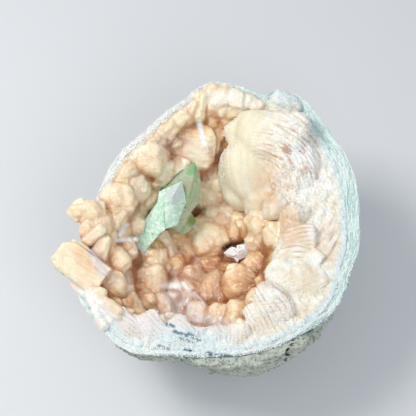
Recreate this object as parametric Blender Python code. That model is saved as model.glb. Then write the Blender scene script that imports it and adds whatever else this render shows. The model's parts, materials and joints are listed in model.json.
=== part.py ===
# Half of a vug from basalt, lying on its back: the open hollow is lined with peach stilbite bundles
# and holds one green apophyllite cluster and a little white quartz.
# Metres, +Z up. The origin is in the middle of the flat patch that the basalt rests on, and the hollow
# opens upwards and a little towards -Y. Lists of crystals are in millimetres.

import math

import bmesh
import bpy
from mathutils import Matrix, Vector, noise

MM = 0.001
GAP = 0.0003

# The layout is laid out as one looks down into the hollow from this viewpoint: every place below is
# millimetres across and up the view, measured from the point aimed at.
VIEW_ELEVATION = math.radians(62.0)
VIEW_DISTANCE = 0.70
VIEW_AIM = Vector((0.0, 0.0066, 0.084))

# The broken rim lies close to one plane, which climbs towards the back.
RIM_HEIGHT = 0.084
RIM_SLOPE = 0.147
RIM_RELIEF = 0.0012
CENTRE = Vector((0.0, -0.006))

# Heights of the bowls at the centre, from the basalt's outside to the floor of the hollow.
BASALT_BOTTOM = -0.012
RIND_BOTTOM = 0.013
WALL_BOTTOM = 0.018
HOLLOW_FLOOR = 0.037
ROUNDNESS = 2.2

AROUND = 36
SHELL_RINGS = 6
HOLLOW_RINGS = 5
LINING = 0.0026
OVERLAP = 0.001
BASALT_LUMPS = 0.003
CRUST_SHARE = 0.42

# Outer edge of the pale rind on the rim plane, from the left side over the back, clockwise.
RIM_OUTLINE = (
    (-65.0, -4.0), (-62.2, 5.6), (-58.8, 14.6), (-54.9, 23.0), (-48.2, 31.9), (-37.0, 41.4),
    (-26.9, 51.0), (-12.9, 61.0), (-2.2, 69.6), (2.8, 70.9), (16.8, 68.6), (30.2, 62.7),
    (40.3, 66.6), (49.8, 63.8), (55.4, 59.9), (62.7, 50.4), (70.0, 40.9), (77.8, 28.6),
    (82.9, 15.7), (84.6, 4.5), (84.8, -10.0), (84.6, -23.5), (80.6, -33.6), (75.0, -51.5),
    (68.3, -60.5), (57.1, -67.8), (49.8, -72.2), (39.2, -77.3), (26.9, -81.2), (7.3, -83.4),
    (-10.0, -82.9), (-25.0, -82.4), (-40.3, -81.2), (-50.4, -77.3), (-61.6, -65.0), (-71.7, -52.6),
    (-75.0, -44.8), (-71.5, -33.0), (-67.0, -17.0),
)

# Edge of the hollow on the rim plane, in the same order.
HOLLOW_OUTLINE = (
    (-60.0, -6.0), (-57.5, 4.0), (-53.5, 13.0), (-49.5, 20.0), (-42.5, 28.5), (-31.0, 38.5),
    (-21.0, 47.0), (-8.0, 57.0), (2.0, 64.0), (16.0, 62.0), (27.0, 56.0), (33.0, 40.0),
    (36.0, 20.0), (39.0, 3.0), (40.5, -12.0), (37.0, -25.0), (34.5, -38.0), (33.0, -46.0),
    (28.0, -57.0), (18.0, -66.0), (4.0, -68.0), (-9.0, -66.0), (-22.0, -64.0), (-38.0, -64.0),
    (-52.0, -56.0), (-62.0, -44.0), (-64.0, -30.0), (-62.0, -17.0),
)

# Crystals: kind, place across and up, lift off the ground towards the viewer, half length, half width,
# half depth, and the turn of the length in the view in degrees.
WALL_LUMPS = (
    ("ball", 29.5, 23.0, 4.0, 26.5, 23.0, 19.0, -14.0),
    ("ball", 24.0, 12.0, 5.0, 15.0, 12.0, 13.0, -40.0),
    ("ball", 34.0, 40.0, 0.0, 25.0, 18.0, 14.0, -6.0),
    ("block", 43.0, 59.0, 0.5, 9.5, 6.0, 7.0, -12.0),
    ("block", 50.0, -15.0, -1.5, 10.0, 2.2, 4.5, 3.0),
    ("block", 49.0, -19.6, -0.6, 9.5, 2.2, 4.5, 2.0),
    ("block", 50.5, -24.2, -1.2, 10.5, 2.2, 4.5, -2.0),
    ("block", 58.0, -31.0, -1.6, 7.5, 5.0, 4.0, 50.0),
    ("block", 33.5, -54.0, 0.0, 10.5, 3.6, 5.0, -70.0),
    ("block", 39.0, -56.0, 0.6, 12.0, 3.6, 5.0, -61.0),
    ("block", 45.0, -59.0, -0.4, 12.0, 3.4, 5.0, -52.0),
    ("block", -16.0, -71.5, -1.8, 9.0, 3.6, 4.5, -38.0),
    ("block", -32.0, -71.0, -1.8, 9.0, 4.4, 4.5, -24.0),
    ("block", 62.0, -3.0, -1.8, 12.0, 3.6, 4.0, 84.0),
    ("block", 65.0, 22.0, -1.8, 12.0, 3.6, 4.0, 112.0),
    ("block", 4.0, -73.0, -1.8, 10.0, 4.0, 4.5, 4.0),
)
CRUST = (
    ("ball", -72.0, -1.5, 5.0, 6.0, 5.0, 5.0, 35.0),
    ("ball", -65.0, -2.5, 4.0, 6.4, 6.2, 6.0, 0.0),
    ("ball", -67.0, -13.0, 3.0, 5.0, 4.6, 4.5, -60.0),
    ("block", -64.0, -15.5, 4.5, 7.4, 2.8, 3.5, 42.0),
    ("ball", -60.0, -8.5, 3.0, 6.0, 5.6, 5.0, 0.0),
    ("block", -60.5, -22.5, 4.5, 7.8, 4.4, 5.0, 80.0),
    ("block", -70.0, -34.5, 4.0, 16.2, 8.4, 6.5, -39.0),
    ("ball", -51.5, 5.5, 4.5, 10.4, 7.8, 7.0, -6.0),
    ("ball", -53.0, -5.0, 6.0, 8.0, 6.8, 6.0, 10.0),
    ("ball", -34.0, 4.5, 7.0, 6.6, 6.2, 6.5, 0.0),
    ("ball", -41.4, -9.5, 8.0, 6.3, 6.5, 6.5, 0.0),
    ("ball", -41.0, -1.5, 5.0, 6.5, 6.0, 6.5, 0.0),
    ("ball", -35.0, 27.5, 5.0, 14.0, 9.4, 9.0, -14.0),
    ("ball", -19.0, 23.0, 6.0, 9.4, 7.8, 8.0, -20.0),
    ("ball", -26.5, 18.5, 7.0, 7.4, 7.2, 7.0, 0.0),
    ("ball", -42.5, 13.0, 6.0, 10.6, 6.4, 6.5, -38.0),
    ("ball", -48.0, 20.0, 3.0, 7.0, 6.0, 5.5, 30.0),
    ("ball", -30.0, 12.0, 5.0, 5.6, 5.0, 5.5, 0.0),
    ("block", -48.0, -12.0, 9.0, 4.6, 1.5, 3.0, 62.0),
    ("block", -45.5, -17.6, 8.0, 6.4, 1.3, 3.5, -4.0),
    ("ball", -57.0, -16.5, 5.0, 5.6, 5.2, 5.0, 0.0),
    ("ball", -50.5, -15.5, 5.0, 6.2, 5.4, 5.0, 0.0),
    ("block", -47.5, -23.5, 7.0, 7.4, 5.0, 5.5, 18.0),
    ("block", -53.0, -31.5, 8.0, 9.8, 6.2, 7.0, 38.0),
    ("ball", -54.0, -44.0, 5.5, 8.6, 8.0, 6.5, 0.0),
    ("block", -45.5, -42.0, 6.0, 7.0, 2.8, 5.5, -78.0),
    ("block", -55.0, -59.5, 3.0, 10.0, 6.4, 6.0, -52.0),
    ("ball", -43.0, -57.5, 1.0, 9.0, 6.4, 5.0, -60.0),
    ("ball", -32.0, -41.5, 9.0, 9.0, 8.0, 7.5, 20.0),
    ("ball", -31.0, -31.5, 8.5, 9.0, 7.8, 7.5, 75.0),
    ("ball", -30.0, -23.5, 6.0, 7.2, 6.2, 7.0, 60.0),
    ("block", -24.0, -20.5, 9.0, 8.8, 4.0, 5.5, -66.0),
    ("ball", -18.0, -18.0, 6.0, 8.4, 5.4, 6.0, -74.0),
    ("ball", -19.5, -32.5, 8.0, 6.6, 6.0, 6.5, 0.0),
    ("ball", -13.5, -24.5, 6.0, 9.4, 5.2, 6.0, -74.0),
    ("ball", 0.5, -17.5, 6.0, 11.4, 10.2, 9.5, 0.0),
    ("ball", -3.5, -10.5, 5.0, 7.6, 6.0, 7.0, 10.0),
    ("ball", 4.0, -3.5, 4.0, 6.8, 6.2, 6.5, 0.0),
    ("ball", 8.5, -8.5, 4.0, 6.4, 5.8, 6.0, 60.0),
    ("ball", 12.0, -4.5, 3.0, 6.0, 6.2, 6.0, 0.0),
    ("ball", 1.0, 11.5, 3.5, 11.2, 9.4, 9.0, 80.0),
    ("ball", 5.5, 22.0, 3.0, 8.0, 7.0, 7.0, 60.0),
    ("ball", 10.5, 3.0, 2.0, 6.4, 5.6, 6.0, 0.0),
    ("block", 18.5, -9.5, 4.0, 8.2, 3.8, 5.0, 82.0),
    ("block", 24.0, -13.0, 4.0, 6.8, 3.8, 5.0, 76.0),
    ("ball", 31.0, -9.5, 4.5, 8.8, 7.8, 7.5, 0.0),
    ("block", 37.0, -14.5, 4.5, 6.4, 4.4, 6.0, 78.0),
    ("ball", 28.5, -20.5, 4.5, 7.4, 6.0, 6.5, -30.0),
    ("ball", 25.0, -30.0, 6.0, 7.0, 6.6, 6.5, 0.0),
    ("ball", 13.0, -34.5, 5.0, 10.2, 4.2, 5.5, 13.0),
    ("block", 10.5, -29.5, 3.0, 5.8, 3.4, 5.0, -10.0),
    ("ball", 1.5, -32.5, 4.0, 7.2, 5.6, 6.0, -10.0),
    ("ball", -8.0, -31.0, 2.5, 7.4, 5.4, 6.0, 0.0),
    ("ball", -9.5, -40.0, 6.5, 8.2, 6.4, 6.5, 20.0),
    ("ball", 3.4, -46.0, 7.0, 9.0, 7.6, 7.5, 80.0),
    ("ball", 18.5, -43.0, 7.5, 10.2, 9.6, 8.5, -20.0),
    ("block", -14.0, -52.0, 7.0, 11.9, 9.0, 6.0, -62.0),
    ("block", -26.0, -55.0, 5.0, 9.0, 5.4, 6.0, -70.0),
    ("ball", -36.5, -53.0, 4.0, 7.4, 6.4, 6.0, -30.0),
    ("block", -6.0, -61.5, 6.0, 9.2, 5.0, 7.0, 88.0),
    ("ball", 6.0, -60.5, 5.0, 7.8, 7.0, 7.0, 90.0),
    ("block", 18.0, -60.5, 5.0, 9.8, 6.8, 7.0, 84.0),
    ("ball", 28.0, -51.0, 3.5, 6.6, 5.8, 6.0, 0.0),
    ("block", -11.0, 35.5, 4.5, 15.4, 10.4, 7.0, -8.0),
    ("block", -3.6, 42.0, 9.0, 6.8, 1.5, 3.5, -74.0),
    ("block", 2.2, 41.0, 6.0, 10.8, 3.6, 5.0, 88.0),
    ("ball", 6.8, 42.0, 3.5, 5.0, 4.4, 5.0, 90.0),
    ("ball", 8.0, 33.0, 2.0, 7.0, 5.0, 5.5, 90.0),
    ("block", -5.0, 57.0, 4.0, 8.8, 3.2, 5.0, 82.0),
    ("block", -10.5, 54.0, 3.0, 7.6, 3.2, 5.0, 70.0),
    ("ball", 1.5, 57.5, 4.0, 6.0, 5.2, 5.5, 90.0),
    ("block", -16.5, 50.0, 2.0, 7.8, 4.0, 5.0, 30.0),
    ("ball", -23.5, 44.0, 2.0, 6.6, 5.4, 5.0, 40.0),
    ("ball", -31.0, 37.0, 2.0, 6.0, 5.0, 5.0, 40.0),
    ("ball", 7.5, 62.5, 3.0, 5.6, 5.4, 5.0, 90.0),
    ("ball", 15.7, 63.0, 3.5, 6.4, 5.2, 5.0, 80.0),
    ("ball", 14.5, 54.5, 2.5, 10.0, 5.4, 6.0, 6.0),
    ("ball", 22.5, 61.0, 2.0, 6.0, 5.2, 5.0, 0.0),
    ("ball", 8.5, 50.0, 2.0, 5.6, 5.0, 5.5, 0.0),
    ("ball", 2.5, 65.0, 2.5, 5.2, 4.8, 4.5, 0.0),
)

# Corners of the apophyllite and quartz crystals: across, up, and how near they are to the viewer.
APOPHYLLITE = (
    ((-7.3, 25.8, -12), (-28.0, 7.5, -17), (-14.0, 18.5, -8), (-8.5, 16.3, -8), (-4.0, 14.0, -14),
     (-5.0, 3.0, -17), (-11.0, -4.0, -14), (-12.0, 3.0, -9), (-28.0, -2.0, -19), (-24.0, 14.0, -23),
     (-6.0, 20.0, -27), (-5.0, 5.0, -34), (-14.0, -10.0, -33), (-27.0, -6.0, -26), (-25.0, 7.0, -26)),
    ((-14.6, 15.1, -5), (-27.4, 9.2, -9), (-28.6, 2.0, -9), (-20.0, 6.0, -2), (-13.2, 9.0, -7),
     (-12.3, 3.2, -8), (-17.4, -9.6, -8), (-24.6, -12.0, -7), (-29.5, -5.0, -10), (-20.0, 5.0, -28),
     (-16.0, -6.0, -30), (-28.0, -8.0, -26)),
    ((-28.0, 3.6, -8), (-31.6, -3.8, -9), (-35.4, -6.6, -12), (-36.6, -12.5, -12), (-28.0, -15.0, -7),
     (-24.0, -12.0, -6), (-25.0, -2.0, -5), (-24.0, -6.0, -28), (-33.0, -12.0, -23)),
    ((-36.0, -8.5, -13), (-38.8, -15.7, -14), (-41.4, -21.8, -16), (-40.3, -26.3, -17),
     (-37.4, -27.0, -16), (-34.0, -21.8, -12), (-27.4, -15.0, -8), (-29.0, -9.0, -8),
     (-30.0, -12.0, -24), (-37.0, -21.0, -21)),
    ((-19.5, -4.0, -10), (-20.5, -10.8, -12), (-16.8, -12.6, -14), (-13.8, -14.8, -17),
     (-10.4, -13.0, -18), (-6.2, -7.4, -20), (-9.5, -2.5, -15), (-13.0, 0.0, -10),
     (-16.0, -10.0, -34), (-9.0, -8.0, -34)),
)
QUARTZ = (
    ((8.6, -25.2, -27), (13.0, -21.6, -24), (15.0, -26.8, -20), (19.0, -23.0, -18), (22.0, -27.0, -20),
     (18.0, -29.0, -21), (11.0, -27.4, -26), (14.0, -25.0, -31), (19.0, -25.0, -28)),
    ((22.4, -19.4, -21), (16.0, -21.0, -22), (17.0, -26.0, -19), (23.5, -24.5, -20), (19.0, -23.0, -28)),
    ((26.8, -26.4, -19), (20.0, -21.5, -21), (20.5, -26.0, -19), (21.0, -25.0, -26)),
    ((16.4, -30.6, -21), (13.0, -26.0, -23), (19.0, -26.0, -20), (16.5, -26.0, -29)),
)

BALL_SIDES = 8
BALL_RINGS = 3
BLOCK_GIRTHS = ((-1.0, 0.55), (-0.72, 1.0), (0.72, 1.0), (1.0, 0.55))
BLOCK_SECTION = ((-1.0, -0.7), (-1.0, 0.62), (-0.55, 1.0), (0.55, 1.0), (1.0, 0.62), (1.0, -0.7))


def seen(across, up, height):
    # The point at a height that shows at a place in the view.
    forward = Vector((0.0, math.cos(VIEW_ELEVATION), -math.sin(VIEW_ELEVATION)))
    upward = Vector((0.0, math.sin(VIEW_ELEVATION), math.cos(VIEW_ELEVATION)))
    eye = VIEW_AIM - VIEW_DISTANCE * forward
    ray = VIEW_DISTANCE * forward + across * MM * Vector((1.0, 0.0, 0.0)) + up * MM * upward
    return eye + ray * ((height - eye.z) / ray.z)


def seen_on(across, up, surface):
    # Where the same line of sight first meets a surface given as height over the plan.
    above, below = 0.14, 0.0
    for _ in range(30):
        middle = (above + below) / 2
        point = seen(across, up, middle)
        if middle > surface(point.x, point.y):
            above = middle
        else:
            below = middle
    return seen(across, up, (above + below) / 2)


def rim_height(x, y):
    return RIM_HEIGHT + RIM_SLOPE * y


def polar_outline(places):
    points = []
    for across, up in places:
        spot = seen_on(across, up, rim_height)
        flat = Vector((spot.x, spot.y)) - CENTRE
        points.append((math.atan2(flat.y, flat.x), flat.length))
    return sorted(points)


def reach_at(outline, angle):
    # Distance from the centre to an outline, linear in the angle between its points.
    angle = math.atan2(math.sin(angle), math.cos(angle))
    looped = [(outline[-1][0] - math.tau, outline[-1][1])] + outline
    looped.append((outline[0][0] + math.tau, outline[0][1]))
    for (a0, r0), (a1, r1) in zip(looped, looped[1:]):
        if a0 <= angle <= a1:
            return r0 + (r1 - r0) * (angle - a0) / max(a1 - a0, 1e-9)
    return outline[0][1]


RIM = polar_outline(RIM_OUTLINE)
HOLLOW = polar_outline(HOLLOW_OUTLINE)


def bump(angle, centre_deg, half_width_deg):
    # 1 at an angle, falling smoothly to 0 at half_width either side.
    off = math.degrees(math.atan2(math.sin(angle - math.radians(centre_deg)),
                                  math.cos(angle - math.radians(centre_deg))))
    if abs(off) >= half_width_deg:
        return 0.0
    return 0.5 + 0.5 * math.cos(math.pi * off / half_width_deg)


def rind_width(angle):
    # The rind is widest on the right of the rim.
    return (3.6 + 4.6 * bump(angle, 15, 75)) * MM


def basalt_width(angle):
    return (2.2 + 4.0 * bump(angle, -68, 42) + 4.5 * bump(angle, 90, 90)) * MM


def basalt_edge(angle):
    # The basalt reaches the rim only in front; elsewhere it has broken away lower down.
    front = min(1.0, 1.7 * bump(angle, -70, 44))
    ragged = 5.0 * noise.noise(Vector((3 * math.cos(angle), 3 * math.sin(angle), 7.0)))
    return math.radians((1.0 - front) * (26.0 + ragged))


def steepness(angle):
    # Exponent of depth in the bowl's profile: upright walls in front and on the right, undercut elsewhere.
    return 1.04 + 0.7 * bump(angle, -64, 44) + 0.5 * bump(angle, 40, 90)


def bowl_point(angle, turn, inset, bottom):
    # A point of one of the nested bowls: turn runs from 0 at the rim to a right angle at the bottom.
    share = math.cos(turn) ** (2 / ROUNDNESS)
    depth = math.sin(turn) ** (2 / steepness(angle))
    reach = (reach_at(RIM, angle) - inset) * share
    x = CENTRE.x + reach * math.cos(angle)
    y = CENTRE.y + reach * math.sin(angle)
    top = rim_height(x, y)
    return Vector((x, y, top - (rim_height(*CENTRE) - bottom) * depth))


def relief(x, y, size=RIM_RELIEF):
    return size * noise.noise(Vector((x, y, 0.02)) / 0.011)


def ground(x, y):
    # Height of the stilbite wall under the crust: the rim, then the hollow.
    flat = Vector((x, y)) - CENTRE
    edge = reach_at(HOLLOW, math.atan2(flat.y, flat.x))
    rim = rim_height(x, y)
    if flat.length >= edge:
        return rim
    share = flat.length / edge
    return rim - (rim_height(*CENTRE) - HOLLOW_FLOOR) * (1 - share ** 2.6) ** 0.85


def at_depth(across, up, near):
    # The point at a place in the view that lies so many millimetres nearer than the point aimed at.
    forward = Vector((0.0, math.cos(VIEW_ELEVATION), -math.sin(VIEW_ELEVATION)))
    upward = Vector((0.0, math.sin(VIEW_ELEVATION), math.cos(VIEW_ELEVATION)))
    eye = VIEW_AIM - VIEW_DISTANCE * forward
    ray = VIEW_DISTANCE * forward + across * MM * Vector((1.0, 0.0, 0.0)) + up * MM * upward
    return eye + ray * (1.0 - near * MM / VIEW_DISTANCE)


def solid(name, vertices, faces):
    mesh = bpy.data.meshes.new(name)
    mesh.from_pydata(vertices, [], faces)
    bm = bmesh.new()
    bm.from_mesh(mesh)
    bmesh.ops.remove_doubles(bm, verts=bm.verts, dist=1e-7)
    bmesh.ops.recalc_face_normals(bm, faces=bm.faces)
    bm.to_mesh(mesh)
    bm.free()
    thing = bpy.data.objects.new(name, mesh)
    bpy.context.scene.collection.objects.link(thing)
    return thing


def closed_rings(name, rings, first_pole, last_pole, rising):
    # Joins rings of equal length into one closed skin with a pole at each end. Rings before rising run
    # up a bowl and the rest run down one, and nested bowls share the same diagonals.
    vertices = [point for ring in rings for point in ring]
    count = len(rings[0])
    faces = []
    pairs = zip(range(len(rings)), range(1, len(rings)))
    for a, b in pairs:
        for i in range(count):
            j = (i + 1) % count
            corners = [a * count + i, a * count + j, b * count + j, b * count + i]
            low, high = (corners[0], corners[2]) if a >= rising else (corners[1], corners[3])
            faces += [(low, high, corner) for corner in corners if corner not in (low, high)]
    vertices += [first_pole, last_pole]
    end = (len(rings) - 1) * count
    for i in range(count):
        j = (i + 1) % count
        faces.append((len(vertices) - 2, j, i))
        faces.append((len(vertices) - 1, end + i, end + j))
    return solid(name, vertices, faces)


def combine(target, tool, operation, self_union=False):
    # Applies one Boolean at once and removes its tool.
    cut = target.modifiers.new(operation, "BOOLEAN")
    cut.object = tool
    cut.operation = operation
    cut.solver = "EXACT"
    cut.use_self = self_union
    result = bpy.data.meshes.new_from_object(target.evaluated_get(bpy.context.evaluated_depsgraph_get()))
    target.modifiers.clear()
    target.data = result
    bpy.data.objects.remove(tool)


def keep_largest(thing):
    # Drops crumbs that a cut leaves loose.
    bm = bmesh.new()
    bm.from_mesh(thing.data)
    bmesh.ops.remove_doubles(bm, verts=bm.verts, dist=1e-6)
    bodies = []
    waiting = set(bm.verts)
    while waiting:
        body = [waiting.pop()]
        for vertex in body:
            for edge in vertex.link_edges:
                other = edge.other_vert(vertex)
                if other in waiting:
                    waiting.discard(other)
                    body.append(other)
        bodies.append(body)
    bodies.sort(key=len)
    for body in bodies[:-1]:
        bmesh.ops.delete(bm, geom=body, context="VERTS")
    bmesh.ops.delete(bm, geom=[edge for edge in bm.edges if not edge.link_faces], context="EDGES")
    bmesh.ops.delete(bm, geom=[vertex for vertex in bm.verts if not vertex.link_faces], context="VERTS")
    bmesh.ops.triangulate(bm, faces=bm.faces)
    bm.to_mesh(thing.data)
    bm.free()


def stand(across, up, lift, turn):
    # Frame of a crystal: x along it in the view, z towards the viewer, origin lifted off the ground.
    place = seen_on(across, up, ground)
    towards = (at_depth(0.0, 0.0, VIEW_DISTANCE / MM) - place).normalized()
    upward = towards.cross(Vector((1.0, 0.0, 0.0))).normalized()
    right = upward.cross(towards)
    turned = math.radians(turn)
    along = right * math.cos(turned) + upward * math.sin(turned)
    frame = Matrix((along, towards.cross(along), towards)).transposed().to_4x4()
    frame.translation = place + towards * lift * MM
    return frame


def ball(frame, long, wide, deep):
    # A rounded bundle: rings of facets along its length, each ring half a facet round from the last.
    vertices = [frame @ Vector((-long, 0.0, 0.0))]
    for ring in range(1, BALL_RINGS + 1):
        polar = math.pi * ring / (BALL_RINGS + 1)
        girth = math.sin(polar)
        for k in range(BALL_SIDES):
            turn = math.tau * (k + 0.5 * ring) / BALL_SIDES
            y, z = wide * girth * math.cos(turn), deep * girth * math.sin(turn)
            vertices.append(frame @ Vector((-long * math.cos(polar), y, z)))
    vertices.append(frame @ Vector((long, 0.0, 0.0)))
    last = len(vertices) - 1
    faces = []
    for k in range(BALL_SIDES):
        n = (k + 1) % BALL_SIDES
        faces.append((0, 1 + n, 1 + k))
        faces.append((last, last - BALL_SIDES + k, last - BALL_SIDES + n))
        for ring in range(BALL_RINGS - 1):
            a = 1 + ring * BALL_SIDES
            b = a + BALL_SIDES
            faces.append((a + k, a + n, b + k))
            faces.append((a + n, b + n, b + k))
    return vertices, faces


def block(frame, long, wide, deep):
    # A flat crystal with chisel ends: a six-sided girth tapering to narrower end faces.
    count = len(BLOCK_SECTION)
    vertices = []
    for x, girth in BLOCK_GIRTHS:
        for y, z in BLOCK_SECTION:
            vertices.append(frame @ Vector((long * x, wide * y * girth, deep * z * girth)))
    end = len(vertices) - count
    faces = [tuple(reversed(range(count))), tuple(range(end, end + count))]
    for ring in range(len(BLOCK_GIRTHS) - 1):
        for k in range(count):
            a, n = ring * count + k, ring * count + (k + 1) % count
            faces.append((a, n, n + count, a + count))
    return vertices, faces


def crystals(name, group):
    # All crystals of a list in one mesh, to be united with what they grow from.
    vertices, faces = [], []
    for kind, across, up, lift, long, wide, deep, turn in group:
        shape = ball if kind == "ball" else block
        points, skin = shape(stand(across, up, lift, turn), long * MM, wide * MM, deep * MM)
        faces += [tuple(index + len(vertices) for index in face) for face in skin]
        vertices += points
    return solid(name, vertices, faces)


def angles():
    return [math.tau * i / AROUND for i in range(AROUND)]


def bowl_rings(inset, bottom, edge=None, rough=0.0):
    # Rings of a bowl from its top edge down, without the pole. Above edge the rings gather on it.
    rings = []
    for k in range(SHELL_RINGS):
        ring = []
        for angle in angles():
            turn = math.pi / 2 * k / SHELL_RINGS
            if edge:
                turn = max(turn, edge(angle) + math.radians(0.5 * k))
            point = bowl_point(angle, turn, inset(angle), bottom)
            if rough:
                out = Vector((math.cos(angle), math.sin(angle), -0.5)).normalized()
                point += out * rough * noise.noise(point / 0.017)
            point.z = max(point.z, 0.0)
            ring.append(point)
        rings.append(ring)
    return rings


def pole(bottom):
    return Vector((CENTRE.x, CENTRE.y, max(bottom, 0.0)))


def basalt_matrix():
    outer = bowl_rings(lambda a: -basalt_width(a), BASALT_BOTTOM, basalt_edge, BASALT_LUMPS)
    inner = bowl_rings(lambda a: OVERLAP, RIND_BOTTOM + OVERLAP, basalt_edge)
    poles = pole(BASALT_BOTTOM), pole(RIND_BOTTOM + OVERLAP)
    basalt = closed_rings("basalt_matrix", outer[::-1] + inner, *poles, SHELL_RINGS)
    seat = bowl_rings(lambda a: -GAP, RIND_BOTTOM - GAP)
    cap = [point + Vector((0.0, 0.0, RIM_HEIGHT)) for point in seat[0]]
    poles = pole(RIND_BOTTOM - GAP), Vector((*CENTRE, 2 * RIM_HEIGHT))
    combine(basalt, closed_rings("room", seat[::-1] + [cap], *poles, SHELL_RINGS), "DIFFERENCE")
    keep_largest(basalt)
    return basalt


def grown_lumps():
    # The wall's lumps, grown by the gap that their neighbours keep.
    grown = [lump[:4] + tuple(half + 2 * GAP / MM for half in lump[4:7]) + lump[7:] for lump in WALL_LUMPS]
    room = crystals("room", grown[:1])
    combine(room, crystals("more", grown[1:]), "UNION", True)
    return room


def chalcedony_rind():
    outer = bowl_rings(lambda a: 0.0, RIND_BOTTOM)
    inner = bowl_rings(rind_width, WALL_BOTTOM - GAP)
    for point in outer[0] + inner[0]:
        point.z += relief(point.x, point.y)
    poles = pole(RIND_BOTTOM), pole(WALL_BOTTOM - GAP)
    rind = closed_rings("chalcedony_rind", outer[::-1] + inner, *poles, SHELL_RINGS)
    combine(rind, grown_lumps(), "DIFFERENCE")
    keep_largest(rind)
    return rind


def hollow_rings(lift):
    # Rings over the wall's top, from its outer edge down to the floor of the hollow.
    rings = []
    for share in (1.0, 0.5) + tuple(-k / HOLLOW_RINGS for k in range(HOLLOW_RINGS)):
        ring = []
        for angle in angles():
            outside = reach_at(RIM, angle) - rind_width(angle) - GAP
            edge = min(reach_at(HOLLOW, angle), outside - 1.2 * MM)
            reach = edge + (outside - edge) * share if share > 0 else edge * (1 + share) ** 0.8
            x = CENTRE.x + reach * math.cos(angle)
            y = CENTRE.y + reach * math.sin(angle)
            ring.append(Vector((x, y, ground(x, y) + lift + relief(x, y))))
        rings.append(ring)
    return rings


def hollow_floor(lift):
    return Vector((CENTRE.x, CENTRE.y, ground(*CENTRE) + lift + relief(*CENTRE)))


def stilbite_wall():
    outer = bowl_rings(lambda a: rind_width(a) + GAP, WALL_BOTTOM)
    top = hollow_rings(0.0)
    rings = outer[:0:-1] + top
    wall = closed_rings("stilbite_wall", rings, pole(WALL_BOTTOM), hollow_floor(0.0), SHELL_RINGS - 1)
    combine(wall, crystals("lumps", WALL_LUMPS), "UNION", True)
    keep_largest(wall)
    return wall


def under_crust():
    # Everything that the crust stays clear of, grown by the gap: rim, wall and what stands on the wall.
    outer = bowl_rings(lambda a: -2 * GAP, RIND_BOTTOM - GAP)
    edges = [bowl_rings(inset, 0.0)[0] for inset in (lambda a: -2 * GAP, rind_width)]
    for point in edges[0] + edges[1]:
        point.z += relief(point.x, point.y) + 2 * GAP
    rings = outer[:0:-1] + edges + hollow_rings(GAP)
    body = closed_rings("under", rings, pole(RIND_BOTTOM - GAP), hollow_floor(GAP), SHELL_RINGS - 1)
    combine(body, grown_lumps(), "UNION", True)
    return body


def lining():
    # A thin skin over the floor and sides of the hollow, which ties the crystals together.
    low, high = hollow_rings(-LINING)[3:], hollow_rings(LINING)[3:]
    poles = hollow_floor(-LINING), hollow_floor(LINING)
    return closed_rings("stilbite_crust", low[::-1] + high, *poles, len(low))


def hull(name, corners, grow=0.0):
    # A crystal as the hull of its corners, each across, up and near.
    points = [at_depth(*corner) for corner in corners]
    middle = sum(points, Vector()) / len(points)
    bm = bmesh.new()
    for point in points:
        bm.verts.new(point + (point - middle).normalized() * grow)
    made = bmesh.ops.convex_hull(bm, input=bm.verts)
    spare = [v for v in made["geom_interior"] if isinstance(v, bmesh.types.BMVert)]
    bmesh.ops.delete(bm, geom=spare, context="VERTS")
    vertices = [v.co.copy() for v in bm.verts]
    index = {v: i for i, v in enumerate(bm.verts)}
    faces = [tuple(index[v] for v in face.verts) for face in bm.faces]
    bm.free()
    return solid(name, vertices, faces)


def grown_together(name, group, grow=0.0):
    whole = hull(name, group[0], grow)
    for corners in group[1:]:
        combine(whole, hull("next", corners, grow), "UNION")
    keep_largest(whole)
    return whole


def thinned(thing, share):
    # Fewer facets on the same form.
    fewer = thing.modifiers.new("fewer", "DECIMATE")
    fewer.ratio = share
    result = bpy.data.meshes.new_from_object(thing.evaluated_get(bpy.context.evaluated_depsgraph_get()))
    thing.modifiers.clear()
    thing.data = result


def stilbite_crust():
    crust = lining()
    combine(crust, crystals("bundles", CRUST), "UNION", True)
    keep_largest(crust)
    thinned(crust, CRUST_SHARE)
    combine(crust, under_crust(), "DIFFERENCE")
    combine(crust, grown_together("room", APOPHYLLITE, 2 * GAP), "DIFFERENCE")
    combine(crust, grown_together("room", QUARTZ, 2 * GAP), "DIFFERENCE")
    keep_largest(crust)
    return crust


def finish(thing, colour, roughness, alpha=1.0):
    material = bpy.data.materials.new(thing.name)
    material.use_nodes = True
    shader = material.node_tree.nodes["Principled BSDF"]
    shader.inputs["Base Color"].default_value = (*colour, 1.0)
    shader.inputs["Roughness"].default_value = roughness
    shader.inputs["Metallic"].default_value = 0.0
    shader.inputs["Alpha"].default_value = alpha
    thing.data.materials.clear()
    thing.data.materials.append(material)


for thing in list(bpy.data.objects):
    bpy.data.objects.remove(thing)
finish(basalt_matrix(), (0.24, 0.26, 0.22), 0.9)
finish(chalcedony_rind(), (0.68, 0.80, 0.79), 0.6)
finish(stilbite_wall(), (0.84, 0.72, 0.55), 0.6)
finish(stilbite_crust(), (0.83, 0.52, 0.32), 0.4)
finish(grown_together("apophyllite_cluster", APOPHYLLITE), (0.30, 0.58, 0.38), 0.15)
finish(grown_together("quartz_cluster", QUARTZ), (0.90, 0.91, 0.94), 0.2)
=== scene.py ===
import json
import math
import time

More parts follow.
